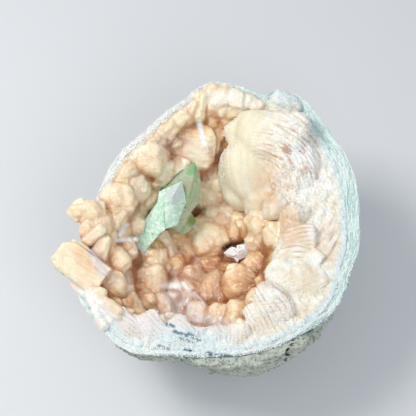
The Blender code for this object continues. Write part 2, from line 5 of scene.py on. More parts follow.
import bmesh
import bpy
import numpy as np
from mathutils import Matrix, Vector

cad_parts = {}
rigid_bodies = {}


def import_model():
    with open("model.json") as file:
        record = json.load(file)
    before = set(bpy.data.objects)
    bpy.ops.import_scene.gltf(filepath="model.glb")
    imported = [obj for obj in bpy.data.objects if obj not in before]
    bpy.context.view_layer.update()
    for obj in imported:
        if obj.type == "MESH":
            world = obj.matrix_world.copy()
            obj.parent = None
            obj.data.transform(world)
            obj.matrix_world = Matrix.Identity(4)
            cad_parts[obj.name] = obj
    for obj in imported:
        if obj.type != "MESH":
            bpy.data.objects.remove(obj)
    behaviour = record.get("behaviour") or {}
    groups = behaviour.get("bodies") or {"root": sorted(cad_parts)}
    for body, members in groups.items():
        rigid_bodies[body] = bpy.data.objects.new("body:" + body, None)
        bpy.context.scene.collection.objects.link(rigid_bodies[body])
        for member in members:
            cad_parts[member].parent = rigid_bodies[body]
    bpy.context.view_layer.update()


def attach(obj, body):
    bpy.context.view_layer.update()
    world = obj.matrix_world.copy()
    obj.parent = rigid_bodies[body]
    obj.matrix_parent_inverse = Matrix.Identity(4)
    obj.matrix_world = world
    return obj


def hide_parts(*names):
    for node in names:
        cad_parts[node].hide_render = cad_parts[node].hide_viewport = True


started = time.time()
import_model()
mm = 0.001


def say(stage):
    print(f"[vug] {stage} at {time.time() - started:.1f} s")


# The lists below give places as millimetres across and up this view, from the point aimed at.
view = {"elevation": math.radians(62.0), "distance": 0.70, "aim": (0.0, 0.0066, 0.084), "width": 416 * 0.00056}
forward = np.array((0.0, math.cos(view["elevation"]), -math.sin(view["elevation"])))
upward = np.array((0.0, math.sin(view["elevation"]), math.cos(view["elevation"])))
rightward = np.array((1.0, 0.0, 0.0))
aim = np.array(view["aim"])
eye = aim - view["distance"] * forward

# The nested bowls of the specimen, the same as in the solids.
bowl = {
    "rimHeight": 0.084, "rimSlope": 0.147, "centre": (0.0, -0.006), "roundness": 2.2,
    "basaltBottom": -0.012, "rindBottom": 0.013, "wallBottom": 0.018, "hollowFloor": 0.037,
    "gap": 0.0003, "lining": 0.0026,
}
centre = np.array(bowl["centre"])

rimOutline = np.array((
    (-65, -4), (-62.2, 5.6), (-58.8, 14.6), (-54.9, 23), (-48.2, 31.9), (-37, 41.4), (-26.9, 51), (-12.9, 61),
    (-2.2, 69.6), (2.8, 70.9), (16.8, 68.6), (30.2, 62.7), (40.3, 66.6), (49.8, 63.8), (55.4, 59.9),
    (62.7, 50.4), (70, 40.9), (77.8, 28.6), (82.9, 15.7), (84.6, 4.5), (84.8, -10), (84.6, -23.5),
    (80.6, -33.6), (75, -51.5), (68.3, -60.5), (57.1, -67.8), (49.8, -72.2), (39.2, -77.3), (26.9, -81.2),
    (7.3, -83.4), (-10, -82.9), (-25, -82.4), (-40.3, -81.2), (-50.4, -77.3), (-61.6, -65), (-71.7, -52.6),
    (-75, -44.8), (-71.5, -33), (-67, -17),
))
hollowOutline = np.array((
    (-60, -6), (-57.5, 4), (-53.5, 13), (-49.5, 20), (-42.5, 28.5), (-31, 38.5), (-21, 47), (-8, 57), (2, 64),
    (16, 62), (27, 56), (33, 40), (36, 20), (39, 3), (40.5, -12), (37, -25), (34.5, -38), (33, -46),
    (28, -57), (18, -66), (4, -68), (-9, -66), (-22, -64), (-38, -64), (-52, -56), (-62, -44), (-64, -30),
    (-62, -17),
))


def sightLine(across, up):
    across, up = np.broadcast_arrays(np.asarray(across, float), np.asarray(up, float))
    return view["distance"] * forward + across[..., None] * mm * rightward + up[..., None] * mm * upward


def atHeight(across, up, height):
    ray = sightLine(across, up)
    return eye + ray * ((height - eye[2]) / ray[..., 2])[..., None]


def atNear(across, up, near):  # so many millimetres nearer the viewer than the point aimed at
    return eye + sightLine(across, up) * (1 - np.asarray(near, float) * mm / view["distance"])[..., None]


def onSurface(across, up, surface):
    across, up = np.broadcast_arrays(np.asarray(across, float), np.asarray(up, float))
    above, below = np.full(across.shape, 0.14), np.zeros(across.shape)
    for _ in range(30):
        middle = (above + below) / 2
        point = atHeight(across, up, middle)
        over = middle > surface(point[..., 0], point[..., 1])
        above, below = np.where(over, middle, above), np.where(over, below, middle)
    return atHeight(across, up, (above + below) / 2)


def seenPlace(points):  # millimetres across and up the view
    offset = points - eye
    share = view["distance"] / (offset @ forward) / mm
    return (offset @ rightward) * share, (offset @ upward) * share


def rimHeight(x, y):
    return bowl["rimHeight"] + bowl["rimSlope"] * y


def aroundCentre(x, y):  # the angle round the middle of the hollow, and the distance from it
    return np.arctan2(y - centre[1], x - centre[0]), np.hypot(x - centre[0], y - centre[1])


def polarOutline(places):
    flat = onSurface(places[:, 0], places[:, 1], rimHeight)
    angle, reach = aroundCentre(flat[:, 0], flat[:, 1])
    order = np.argsort(angle)
    return angle[order], reach[order]


rimPolar, hollowPolar = polarOutline(rimOutline), polarOutline(hollowOutline)


def reachAt(outline, angle):
    soft = (-0.03, -0.01, 0.01, 0.03)
    return sum(np.interp(angle + off, *outline, period=math.tau) for off in soft) / len(soft)


def swell(angle, middle, half):  # 1 at an angle, falling smoothly to 0 at half either side
    off = np.degrees(np.angle(np.exp(1j * (angle - math.radians(middle)))))
    return np.where(abs(off) < half, 0.5 + 0.5 * np.cos(math.pi * off / half), 0.0)


def rindWidth(angle):
    return (3.6 + 4.6 * swell(angle, 15, 75)) * mm


def basaltWidth(angle):
    return (2.2 + 4.0 * swell(angle, -68, 42) + 4.5 * swell(angle, 90, 90)) * mm


def basaltEdge(angle):
    front = np.minimum(1.0, 1.7 * swell(angle, -70, 44))
    ragged = 2.6 * np.sin(5 * angle + 1) + 1.6 * np.sin(11 * angle + 4) + 0.9 * np.sin(23 * angle)
    return np.radians((1 - front) * (26 + ragged))


def steepness(angle):
    return 1.04 + 0.7 * swell(angle, -64, 44) + 0.5 * swell(angle, 40, 90)


def bowlPoint(angle, turn, inset, bottom):
    share = np.cos(turn) ** (2 / bowl["roundness"])
    depth = np.sin(turn) ** (2 / steepness(angle))
    reach = (reachAt(rimPolar, angle) - inset) * share
    x, y = centre[0] + reach * np.cos(angle), centre[1] + reach * np.sin(angle)
    return np.stack((x, y, rimHeight(x, y) - (rimHeight(*centre) - bottom) * depth), -1)


def ground(x, y):  # the stilbite wall under the crust: the rim, then the hollow
    angle, length = aroundCentre(x, y)
    share = np.minimum(length / reachAt(hollowPolar, angle), 1)
    return rimHeight(x, y) - (rimHeight(*centre) - bowl["hollowFloor"]) * (1 - share ** 2.6) ** 0.85


def waves(points, size, seed, count=10):  # smooth random relief of about unit strength
    rng = np.random.default_rng(seed)
    way = rng.normal(size=(count, points.shape[-1]))
    way *= (math.tau / size * rng.uniform(0.6, 1.5, count) / np.linalg.norm(way, axis=1))[:, None]
    return np.sin(points @ way.T + rng.uniform(0, math.tau, count)).sum(-1) / math.sqrt(count / 2)


def layered(points, *layers):  # waves of several sizes: size in millimetres, seed, strength
    return sum(waves(points, size * mm, seed) * strength for size, seed, strength in layers)


def unit(values):
    return np.clip(values, 0, 1)


def patched(across, up, patches):  # soft patches: across, up, half width, half height, edge, strength
    return np.max([share * unit(edge - np.hypot((across - x) / wide, (up - y) / high))
                   for x, y, wide, high, edge, share in patches], 0)


def stroked(points, strokes):  # strokes: from across and up, to across and up, half width, strength
    across, up = seenPlace(points)
    total = np.zeros(len(points))
    for x0, y0, x1, y1, half, strength in strokes:
        run = np.array((x1 - x0, y1 - y0))
        share = unit(((across - x0) * run[0] + (up - y0) * run[1]) / (run @ run))
        away = np.hypot(across - x0 - share * run[0], up - y0 - share * run[1])
        total = np.maximum(total, strength * unit(1.5 - away / half))
    return total


def newObject(name, data):
    thing = bpy.data.objects.new(name, data)
    bpy.context.scene.collection.objects.link(thing)
    return thing


def finished(piece):  # its mesh with every modifier applied
    return bpy.data.meshes.new_from_object(piece.evaluated_get(bpy.context.evaluated_depsgraph_get()))


def newPiece(name, points, faces, smooth=None):
    mesh = bpy.data.meshes.new(name)
    mesh.from_pydata(points, [], faces)
    mesh.validate()
    piece = newObject(name, mesh)
    if smooth is not None:
        shadeBy(piece, smooth)
    return piece


def shadeBy(piece, angle):
    piece.data.shade_smooth()
    piece.data.set_sharp_from_angle(angle=math.radians(angle))


def vectorsOf(piece, what="co"):
    values = np.empty(len(piece.data.vertices) * 3, np.float32)
    piece.data.vertices.foreach_get(what, values)
    return values.reshape(-1, 3).astype(float)


def putPoints(piece, points):
    piece.data.vertices.foreach_set("co", points.astype(np.float32).ravel())
    piece.data.update()


def store(piece, name, values):
    values = np.asarray(values, np.float32)
    kind = "FLOAT_VECTOR" if values.ndim == 2 else "FLOAT"
    piece.data.attributes.new(name, kind, "POINT")
    piece.data.attributes[name].data.foreach_set("vector" if values.ndim == 2 else "value", values.ravel())


def gridFaces(rows, columns):  # quads between closed rings, the first ring first
    a = np.arange(rows - 1)[:, None] * columns + np.arange(columns)
    b = np.arange(rows - 1)[:, None] * columns + (np.arange(columns) + 1) % columns
    return np.stack((a, b, b + columns, a + columns), -1).reshape(-1, 4)


def closedRings(name, rings, firstPole, lastPole, smooth=None):
    rows, columns = rings.shape[:2]
    points = np.vstack((rings.reshape(-1, 3), firstPole, lastPole))
    around = np.arange(columns)
    after, last, pole = (around + 1) % columns, (rows - 1) * columns, np.full(columns, rows * columns)
    faces = gridFaces(rows, columns).tolist() + np.stack((pole, after, around), -1).tolist()
    faces += np.stack((pole + 1, last + around, last + after), -1).tolist()
    return newPiece(name, points, faces, smooth)


def unite(name, base, parts):  # one skin round everything that has grown together
    group = bpy.data.collections.new("parts")
    bpy.context.scene.collection.children.link(group)
    for part in parts:
        bpy.context.scene.collection.objects.unlink(part)
        group.objects.link(part)
    join = base.modifiers.new("join", "BOOLEAN")
    join.operation, join.solver, join.operand_type, join.collection = "UNION", "MANIFOLD", "COLLECTION", group
    mesh = finished(base)
    for part in list(group.objects) + [base]:
        bpy.data.objects.remove(part)
    bpy.data.collections.remove(group)
    return onlySkin(name, mesh)


def onlySkin(name, mesh):  # drops the pockets that a union closes in
    mesh.calc_loop_triangles()
    points = np.array([tuple(vertex.co) for vertex in mesh.vertices])
    corners = np.array([tuple(triangle.vertices) for triangle in mesh.loop_triangles])
    label, before = np.arange(len(points)), None
    while before is None or (label != before).any():
        lowest, before = label[corners].min(1), label.copy()
        for side in range(3):
            np.minimum.at(label, corners[:, side], lowest)
        label = label[label]
    largest = np.bincount(label[corners[:, 0]], minlength=len(points)).argmax()
    used, kept = np.unique(corners[label[corners[:, 0]] == largest], return_inverse=True)
    bpy.data.meshes.remove(mesh)
    return newPiece(name, points[used], kept.reshape(-1, 3).tolist())


def standAt(across, up, lift, turn, tilt=0.0):  # axes along, beside and towards the viewer, and the middle
    place = onSurface(across, up, ground)
    towards = (eye - place) / np.linalg.norm(eye - place)
    higher = np.cross(towards, rightward)
    higher /= np.linalg.norm(higher)
    along = np.cross(higher, towards) * math.cos(math.radians(turn)) + higher * math.sin(math.radians(turn))
    beside = np.cross(towards, along)
    lean = math.radians(tilt)
    cos, sin = math.cos(lean), math.sin(lean)
    along, upwards = along * cos + towards * sin, towards * cos - along * sin
    return np.stack((along, beside, upwards)), place + towards * lift * mm


blockFaces = np.array((
    (1, 0, 0, 1), (-1, 0, 0, 1), (0, 1, 0, 1), (0, -1, 0, 1), (0, 0, 1, 1), (0, 0, -1, 0.8),
    (0, 0.38, 0.45, 0.659), (0, -0.38, 0.45, 0.659),
    (0.45, 0.28, 0, 0.604), (0.45, -0.28, 0, 0.604), (-0.45, 0.28, 0, 0.604), (-0.45, -0.28, 0, 0.604),
    (0.45, 0, 0.28, 0.604), (-0.45, 0, 0.28, 0.604), (0.45, 0, -0.28, 0.604), (-0.45, 0, -0.28, 0.604),
))
slabFaces = np.array((
    (1, 0, 0, 1), (-1, 0, 0, 1), (0, 1, 0, 1), (0, -1, 0, 1), (0, 0, 1, 1), (0, 0, -1, 0.9),
    (-0.5, 0.5, 0, 0.8), (-0.5, -0.5, 0, 0.86), (0, -0.5, 0.5, 0.9),
))
growth = {
    "facets": {"ball": 13, "round": 9}, "least": {"ball": 0.86, "round": 0.94},
    "softness": {"ball": 8.5, "round": 5.5, "block": 26.0, "slab": 60.0}, "margin": 3.0 * mm,
    "faces": {"block": blockFaces, "slab": slabFaces},
}


def unitWays(rng, count):
    way = rng.normal(size=(count, 3))
    return way / np.linalg.norm(way, axis=1)[:, None]


def newForm(kind, axes, middle, half, rng, family):
    form = {"kind": kind, "axes": axes, "middle": middle, "half": half, "size": 1.0, "family": family,
            "tint": rng.uniform(-1, 1), "softness": growth["softness"][kind]}
    if kind in growth["facets"]:
        way = unitWays(rng, growth["facets"][kind])
        reach = rng.uniform(growth["least"][kind], 1.0, len(way))[:, None]
        form["planes"] = np.vstack((way / reach, np.eye(3), -np.eye(3)))
        form["size"] = 1 / np.mean(1 / girthOf(form, unitWays(rng, 400))[0])
    else:
        faces = growth["faces"][kind]
        form["planes"] = faces[:, :3] / faces[:, 3:]
    return form


def girthOf(form, local):  # 1 on the crystal's surface, less inside, and its slope
    facing = np.maximum(local @ form["planes"].T, 1e-6)
    top = facing.max(-1)
    share = (facing / top[..., None]) ** (form["softness"] - 1)
    total = (share * facing).sum(-1) / top
    girth = top * total ** (1 / form["softness"])
    slope = (share @ form["planes"]) * ((top / girth) ** (form["softness"] - 1))[..., None]
    return girth / form["size"], slope / form["size"]


def distanceTo(form, points):  # below 0 inside the crystal
    local = ((points - form["middle"]) @ form["axes"].T) / form["half"]
    girth, slope = girthOf(form, local)
    return (girth - 1) / np.linalg.norm(slope / form["half"], axis=-1)


def turned(axes, rng, degrees):
    spin = rng.normal(size=3) * math.radians(degrees)
    angle = np.linalg.norm(spin) + 1e-9
    x, y, z = spin / angle
    cross = np.array(((0, -z, y), (z, 0, -x), (-y, x, 0)))
    return axes @ (np.eye(3) + math.sin(angle) * cross + (1 - math.cos(angle)) * cross @ cross)


def bundle(kind, across, up, lift, long, wide, deep, turn, seed, lobes=None, fan=0.0, tilt=0.0, groove=0.0):
    rng = np.random.default_rng(seed)
    axes, middle = standAt(across, up, lift, turn, tilt)
    half = np.array((long, wide, deep)) * mm
    forms = []
    if kind in growth["facets"]:  # a cushion of a few rounded lobes
        lobes = lobes if lobes is not None else int(np.clip(round(half.mean() / mm * 0.45), 2, 4))
        forms.append(newForm(kind, axes, middle, half * (0.95 if lobes else 1.0), rng, seed))
        for index in range(lobes):
            angle = math.tau * (index * 0.618 + rng.uniform(0, 0.2)) + seed
            rise = (index + 0.6) / lobes
            flat = math.sqrt(1 - rise * rise)
            way = np.array((math.cos(angle) * flat, math.sin(angle) * flat, rise))
            lobe = half * rng.uniform(0.56, 0.72) * (0.75 + 0.25 * half.mean() / half)
            spot = middle + (way * (half - lobe * 0.93)) @ axes
            forms.append(newForm(kind, turned(axes, rng, 25), spot, lobe, rng, seed))
    else:  # a sheaf of blades side by side
        count = lobes if lobes is not None else int(np.clip(round(wide / 4.6), 1, 3))
        for index in range(count):
            off = (index + 0.5) / count * 2 - 1
            loose = min(count - 1, 3) / 3
            blade = half * (rng.uniform(1 - 0.25 * loose, 1.04), 1.15 / count * rng.uniform(1, 1 + 0.6 * loose),
                            rng.uniform(1 - 0.2 * loose, 1.04))
            blade[1] = max(blade[1], 0.9 * mm)
            bend = math.radians(fan * off)
            spun = np.stack((axes[0] * math.cos(bend) + axes[1] * math.sin(bend),
                             axes[1] * math.cos(bend) - axes[0] * math.sin(bend), axes[2]))
            hinge = middle - axes[0] * half[0] * (1 if fan else 0)
            spot = hinge + spun[0] * half[0] * (1 if fan else 0) + axes[1] * off * (half[1] - blade[1])
            forms.append(newForm(kind, turned(spun, rng, 2 + 4 * loose),
                                 spot + spun[0] * rng.uniform(-0.1, 0.1) * half[0] * loose, blade, rng, seed))
    for form in forms:
        form["groove"] = groove
    return forms


def grooved(field, owner, local):  # sharp lengthwise grooves of the forms that have them, 0 to 1
    apart = np.array([form.get("groove", 0) for form in field["forms"]])[owner] * mm
    wander = waves(local * (0.5, 0.5, 0.3), 12 * mm, 47) * 0.9
    wave = abs(np.sin(local[:, 1] * math.pi / np.maximum(apart, mm) + wander))
    strength = unit(0.75 + 0.4 * waves(local, 9 * mm, 46))
    return np.where(apart > 0, unit(1 - wave * 1.7) ** 1.5 * strength, 0.0)


# Fields hold crystals that have grown together in one skin.
def newField(low, high, step):
    low, high = np.array(low), np.array(high)
    return {"low": low, "step": step, "forms": [],
            "value": np.full(np.ceil((high - low) / step).astype(int) + 1, 5 * mm, np.float32)}


def melt(first, second, width):  # the lesser of two distances, with a rounded corner of some width
    near = np.maximum(width - abs(first - second), 0) / width
    return np.minimum(first, second) - near * near * width / 4


def columnsOf(field):  # across and along of every upright column, and the heights in it
    spans = [field["low"][i] + np.arange(field["value"].shape[i]) * field["step"] for i in range(3)]
    return (*np.meshgrid(spans[0], spans[1], indexing="ij"), spans[2])


def gridPoints(field, low, high):
    spans = [field["low"][i] + np.arange(low[i], high[i]) * field["step"] for i in range(3)]
    return np.stack(np.meshgrid(*spans, indexing="ij"), -1)


def addForm(field, form, width):
    reach = abs(form["axes"]).T @ form["half"] + growth["margin"]
    size = np.array(field["value"].shape)
    low = np.clip(((form["middle"] - reach - field["low"]) / field["step"]).astype(int), 0, size)
    high = np.clip(((form["middle"] + reach - field["low"]) / field["step"]).astype(int) + 1, 0, size)
    if (high <= low).any():
        return
    here = tuple(slice(a, b) for a, b in zip(low, high))
    field["value"][here] = melt(field["value"][here], distanceTo(form, gridPoints(field, low, high)), width)
    field["forms"].append(form)


def columnTops(field):  # the highest filled place of every upright column, or -1
    filled = field["value"] < 0
    top = filled.shape[2] - 1 - np.argmax(filled[:, :, ::-1], 2)
    return np.where(filled.any(2), field["low"][2] + top * field["step"], -1.0)


def softened(sheet, radius):
    ramp = np.exp(-0.5 * (np.arange(-3 * radius, 3 * radius + 1) / radius) ** 2)
    ramp /= ramp.sum()
    for axis in (0, 1):
        sheet = np.apply_along_axis(lambda line: np.convolve(line, ramp, "same"), axis, sheet)
    return sheet


def skinOf(name, field):  # one point in each cell that the skin crosses, and a quad over each crossed edge
    value, step = field["value"], field["step"]
    for axis in range(3):  # the skin closes at the ends of the field
        np.moveaxis(value, axis, 0)[[0, -1]] = np.abs(np.moveaxis(value, axis, 0)[[0, -1]]) + step
    inside = value < 0
    count = np.zeros(tuple(n - 1 for n in inside.shape), np.int8)
    corners = [(i, j, k) for i in (0, 1) for j in (0, 1) for k in (0, 1)]
    for i, j, k in corners:
        count += inside[i:inside.shape[0] - 1 + i, j:inside.shape[1] - 1 + j, k:inside.shape[2] - 1 + k]
    active = (count > 0) & (count < 8)
    cells = np.argwhere(active)
    index = np.full(active.shape, -1, np.int32)
    index[active] = np.arange(len(cells))
    total, hits = np.zeros((len(cells), 3)), np.zeros(len(cells))
    for first in corners:
        for axis in range(3):
            if first[axis]:
                continue
            second = tuple(1 if i == axis else first[i] for i in range(3))
            a, b = value[tuple((cells + first).T)], value[tuple((cells + second).T)]
            crossed = (a < 0) != (b < 0)
            spot = np.tile(np.array(first, float), (len(cells), 1))
            spot[:, axis] += np.where(crossed, a / np.where(a == b, 1, a - b), 0)
            total += spot * crossed[:, None]
            hits += crossed
    points = field["low"] + (cells + total / hits[:, None]) * step
    faces = []
    for axis, one, two in ((0, 1, 2), (1, 2, 0), (2, 0, 1)):
        low = [slice(1, -1)] * 3
        low[axis] = slice(0, -1)
        high = [slice(1, -1)] * 3
        high[axis] = slice(1, None)
        before, after = inside[tuple(low)], inside[tuple(high)]
        edges = np.argwhere(before != after)
        outward = before[tuple(edges.T)]
        for i in range(3):
            edges[:, i] += 0 if i == axis else 1
        left, down = np.eye(3, dtype=int)[one], np.eye(3, dtype=int)[two]
        around = [index[tuple((edges - off).T)] for off in (left + down, down, left * 0, left)]
        quads = np.stack(around, -1)
        faces.append(np.where(outward[:, None], quads, quads[:, ::-1]))
    return newPiece(name, points, np.vstack(faces).tolist())


def nearestForms(field, points):  # for each point the nearest crystal, its distance and that to the next family
    families = np.array([form["family"] for form in field["forms"]])
    away, owner = np.full(len(points), 0.02), np.zeros(len(points), int)
    next_, nextLobe = np.full(len(points), 0.02), np.full(len(points), 0.02)
    local = points.copy()
    for index, form in enumerate(field["forms"]):
        close = np.nonzero(((points - form["middle"]) ** 2).sum(1) < (form["half"].max() + growth["margin"]) ** 2)[0]
        distance = abs(distanceTo(form, points[close]))
        won = distance < away[close]
        winners, losers = close[won], close[~won]
        other = families[owner[winners]] != form["family"]
        next_[winners[other]] = away[winners[other]]
        nextLobe[winners] = away[winners]
        away[winners], owner[winners] = distance[won], index
        local[winners] = (points[winners] - form["middle"]) @ form["axes"].T
        other = families[owner[losers]] != form["family"]
        next_[losers[other]] = np.minimum(next_[losers[other]], distance[~won][other])
        nextLobe[losers] = np.minimum(nextLobe[losers], distance[~won])
    return owner, away, next_, nextLobe, local


def addNode(tree, kind, values=None, **settings):
    node = tree.nodes.new(kind)
    for key, value in settings.items():
        setattr(node, key, value)
    for key, value in (values or {}).items():
        if isinstance(value, bpy.types.NodeSocket):
            tree.links.new(value, node.inputs[key])
        else:
            node.inputs[key].default_value = value
    return node


def mixed(tree, share, first, second):
    return addNode(tree, "ShaderNodeMix", {0: share, 6: first, 7: second}, data_type="RGBA").outputs[2]


def maths(tree, operation, *values):
    return addNode(tree, "ShaderNodeMath", dict(enumerate(values)), operation=operation).outputs[0]


def spread(tree, value, low, high, toLow=0.0, toHigh=1.0):
    values = {"Value": value, "From Min": low, "From Max": high, "To Min": toLow, "To Max": toHigh}
    return addNode(tree, "ShaderNodeMapRange", values, interpolation_type="SMOOTHSTEP").outputs[0]


def ramp(tree, value, stops):
    node = addNode(tree, "ShaderNodeValToRGB", {"Fac": value})
    for place, colour in stops[1:-1]:
        node.color_ramp.elements.new(place)
    for element, (place, colour) in zip(node.color_ramp.elements, stops):
        element.position = place
        element.color = colour
    return node.outputs[0]


def hexColour(code):
    parts = [int(code[i:i + 2], 16) / 255 for i in (0, 2, 4)]
    return tuple(p / 12.92 if p <= 0.04045 else ((p + 0.055) / 1.055) ** 2.4 for p in parts) + (1.0,)


def colours(**codes):
    return {name: hexColour(code) for name, code in codes.items()}


def attribute(tree, name, output="Fac"):
    return addNode(tree, "ShaderNodeAttribute", attribute_name=name).outputs[output]


def washed(tree, colour, look, *names):  # each tint over the last, where its attribute is
    for name in names:
        colour = mixed(tree, attribute(tree, name), colour, look[name])
    return colour


def newMaterial(name, **values):
    material = bpy.data.materials.new(name)
    material.use_nodes = True
    shader = material.node_tree.nodes["Principled BSDF"]
    for key, value in values.items():
        shader.inputs[key.replace("_", " ")].default_value = value
    return material, material.node_tree, shader


def newGroup(name, inputs, outputs):
    group = bpy.data.node_groups.new(name, "ShaderNodeTree")
    for label, kind, value in inputs:
        socket = group.interface.new_socket(label, in_out="INPUT", socket_type=kind)
        if value is not None:
            socket.default_value = value
    for label, kind in outputs:
        group.interface.new_socket(label, in_out="OUTPUT", socket_type=kind)
    return group, group.nodes.new("NodeGroupInput").outputs, group.nodes.new("NodeGroupOutput")


def makeGrainGroup():  # sugary grains: a value and a height that change from grain to grain
    group, given, result = newGroup("sugarGrain", (("Vector", "NodeSocketVector", None),
                                                   ("Size mm", "NodeSocketFloat", 1.0)),
                                    (("Value", "NodeSocketFloat"), ("Height", "NodeSocketFloat")))
    scale = maths(group, "DIVIDE", 1000.0, given["Size mm"])
    cells = addNode(group, "ShaderNodeTexVoronoi", {"Vector": given["Vector"], "Scale": scale, "Randomness": 1.0})
    fine = addNode(group, "ShaderNodeTexNoise", {"Vector": given["Vector"], "Scale": scale, "Detail": 3.0})
    apart = addNode(group, "ShaderNodeSeparateColor", {0: cells.outputs["Color"]})
    group.links.new(apart.outputs[0], result.inputs["Value"])
    height = maths(group, "SUBTRACT", fine.outputs[0], cells.outputs["Distance"])
    group.links.new(height, result.inputs["Height"])
    return group


def makeFibreGroup():  # fine streaks along the growth of each crystal
    group, given, result = newGroup("growthFibre", (("Vector", "NodeSocketVector", None),
                                                    ("Size mm", "NodeSocketFloat", 1.0),
                                                    ("Stretch", "NodeSocketFloat", 0.12)),
                                    (("Value", "NodeSocketFloat"),))
    factor = addNode(group, "ShaderNodeCombineXYZ", {0: given["Stretch"], 1: 1.0, 2: 1.0})
    drawn = addNode(group, "ShaderNodeVectorMath", {0: given["Vector"], 1: factor.outputs[0]}, operation="MULTIPLY")
    scale = maths(group, "DIVIDE", 1000.0, given["Size mm"])
    streak = addNode(group, "ShaderNodeTexNoise", {"Vector": drawn.outputs[0], "Scale": scale, "Detail": 3.0,
                                                   "Roughness": 0.6})
    group.links.new(streak.outputs[0], result.inputs["Value"])
    return group


sugarGrain, growthFibre = makeGrainGroup(), makeFibreGroup()


def useGroup(tree, group, **values):
    values = {key.replace("_", " "): value for key, value in values.items()}
    return addNode(tree, "ShaderNodeGroup", values, node_tree=group).outputs


def finish(tree, shader, colour, height, distance, strength):
    bump = addNode(tree, "ShaderNodeBump", {"Height": height, "Distance": distance, "Strength": strength})
    tree.links.new(colour, shader.inputs["Base Color"])
    tree.links.new(bump.outputs[0], shader.inputs["Normal"])


def place(tree):
    return addNode(tree, "ShaderNodeTexCoord").outputs["Object"]


def noise(tree, scale, detail, vector=None, **values):
    values.update({"Vector": place(tree) if vector is None else vector, "Scale": scale, "Detail": detail})
    return addNode(tree, "ShaderNodeTexNoise", values).outputs[0]


def near(tree, colour, spot, outer, inner, strength, tint):  # a soft patch round a place inside a crystal
    values = {0: place(tree), 1: tuple(atNear(*spot))}
    away = addNode(tree, "ShaderNodeVectorMath", values, operation="DISTANCE").outputs["Value"]
    return mixed(tree, spread(tree, away, outer * mm, inner * mm, 0.0, strength), colour, hexColour(tint))


def bundleMaterial():
    look = colours(crest="FCE8C3", flank="EFC28C", hollow="BE783C", pale="FCF3E2", pink="ECC9B2", lilac="DDD2D2",
                   crease="BE783C", seam="9C561F", orange="B05A14", white="FBFAF8", behind="FBFAF8", dark="1B1712")
    material, tree, shader = newMaterial("stilbite bundles", Roughness=0.3, IOR=1.5, Subsurface_Weight=0.4,
                                         Subsurface_Scale=0.0035, Subsurface_Radius=(1.0, 0.45, 0.16),
                                         Coat_Weight=0.5, Coat_Roughness=0.16)
    blotch = noise(tree, 160.0, 2.0)
    fibre = useGroup(tree, growthFibre, Vector=attribute(tree, "fibre", "Vector"), Size_mm=1.4)[0]
    # painted shade: the colour runs from crest through flank to hollow as the deep attribute grows, darker and more
    # orange down in the hollow and between crystals
    depth = maths(tree, "ADD", attribute(tree, "deep"), maths(tree, "MULTIPLY_ADD", blotch, 0.5, -0.25))
    colour = ramp(tree, depth, ((0.0, look["crest"]), (0.4, look["flank"]), (1.0, look["hollow"])))
    colour = mixed(tree, maths(tree, "MULTIPLY", attribute(tree, "pale"), 0.8), colour, look["pale"])
    colour = washed(tree, colour, look, "pink", "lilac")
    colour = mixed(tree, spread(tree, fibre, 0.45, 0.7, 0.0, 0.5), colour, look["pale"])
    # of these washes the crease, seam and orange ones are painted shade, the one by the clear crystal is painted
    # light, the dark one is a painted shadow in a gap, and the white one holds painted highlights as well as white
    # blades
    colour = washed(tree, colour, look, "crease", "seam", "orange", "white", "behind", "dark")
    fine = noise(tree, 560.0, 3.0)
    finish(tree, shader, colour, maths(tree, "ADD", fibre, maths(tree, "MULTIPLY", fine, 0.9)), 0.0008, 0.6)
    return material


def wallMaterial():
    look = colours(cream="E9DBC3", pale="F5EFE3", dome="EDE6CF", peach="DDB48B", white="FBF9F5", grain="C39B84",
                   streak="D8C6B4", line="DFCBA0", furrow="BE9876", cleaved="FBF9F5", lilac="E6DEE4",
                   rindward="DCE9EA", orange="CC7E38", slate="66828E")
    material, tree, shader = newMaterial("stilbite wall", Roughness=0.45, IOR=1.5, Subsurface_Weight=0.35,
                                         Subsurface_Scale=0.003, Subsurface_Radius=(1.0, 0.6, 0.35))
    grain = useGroup(tree, sugarGrain, Vector=place(tree), Size_mm=1.0)
    blotch, fine = noise(tree, 120.0, 5.0, Roughness=0.65), noise(tree, 520.0, 3.0)
    streak = noise(tree, 470.0, 4.0, attribute(tree, "arcs", "Vector"))
    colour = mixed(tree, spread(tree, blotch, 0.38, 0.62), look["cream"], look["pale"])
    colour = washed(tree, colour, look, "dome", "peach")
    # the tint laid over the grooves is painted shade
    for share, tint in (
        (maths(tree, "MULTIPLY", attribute(tree, "sugar"), spread(tree, fine, 0.4, 0.6, 0.25, 1.0)), "white"),
        (spread(tree, blotch, 0.5, 0.72, 0.0, 0.5), "white"),
        (maths(tree, "MULTIPLY", attribute(tree, "sugar"), spread(tree, streak, 0.5, 0.35, 0.0, 0.5)), "streak"),
        (maths(tree, "MULTIPLY", attribute(tree, "lines"), 0.35), "line"),
        (maths(tree, "MULTIPLY", attribute(tree, "grains"), spread(tree, streak, 0.5, 0.38, 0.0, 0.75)), "grain"),
        (maths(tree, "MULTIPLY", attribute(tree, "groove"), 0.8), "furrow"),
    ):
        colour = mixed(tree, share, colour, look[tint])
    # of these tints the orange one is painted shade in crevices
    colour = washed(tree, colour, look, "cleaved", "lilac", "rindward", "orange", "slate")
    finish(tree, shader, colour, maths(tree, "ADD", grain["Height"], fine), 0.0004, 0.5)
    return material


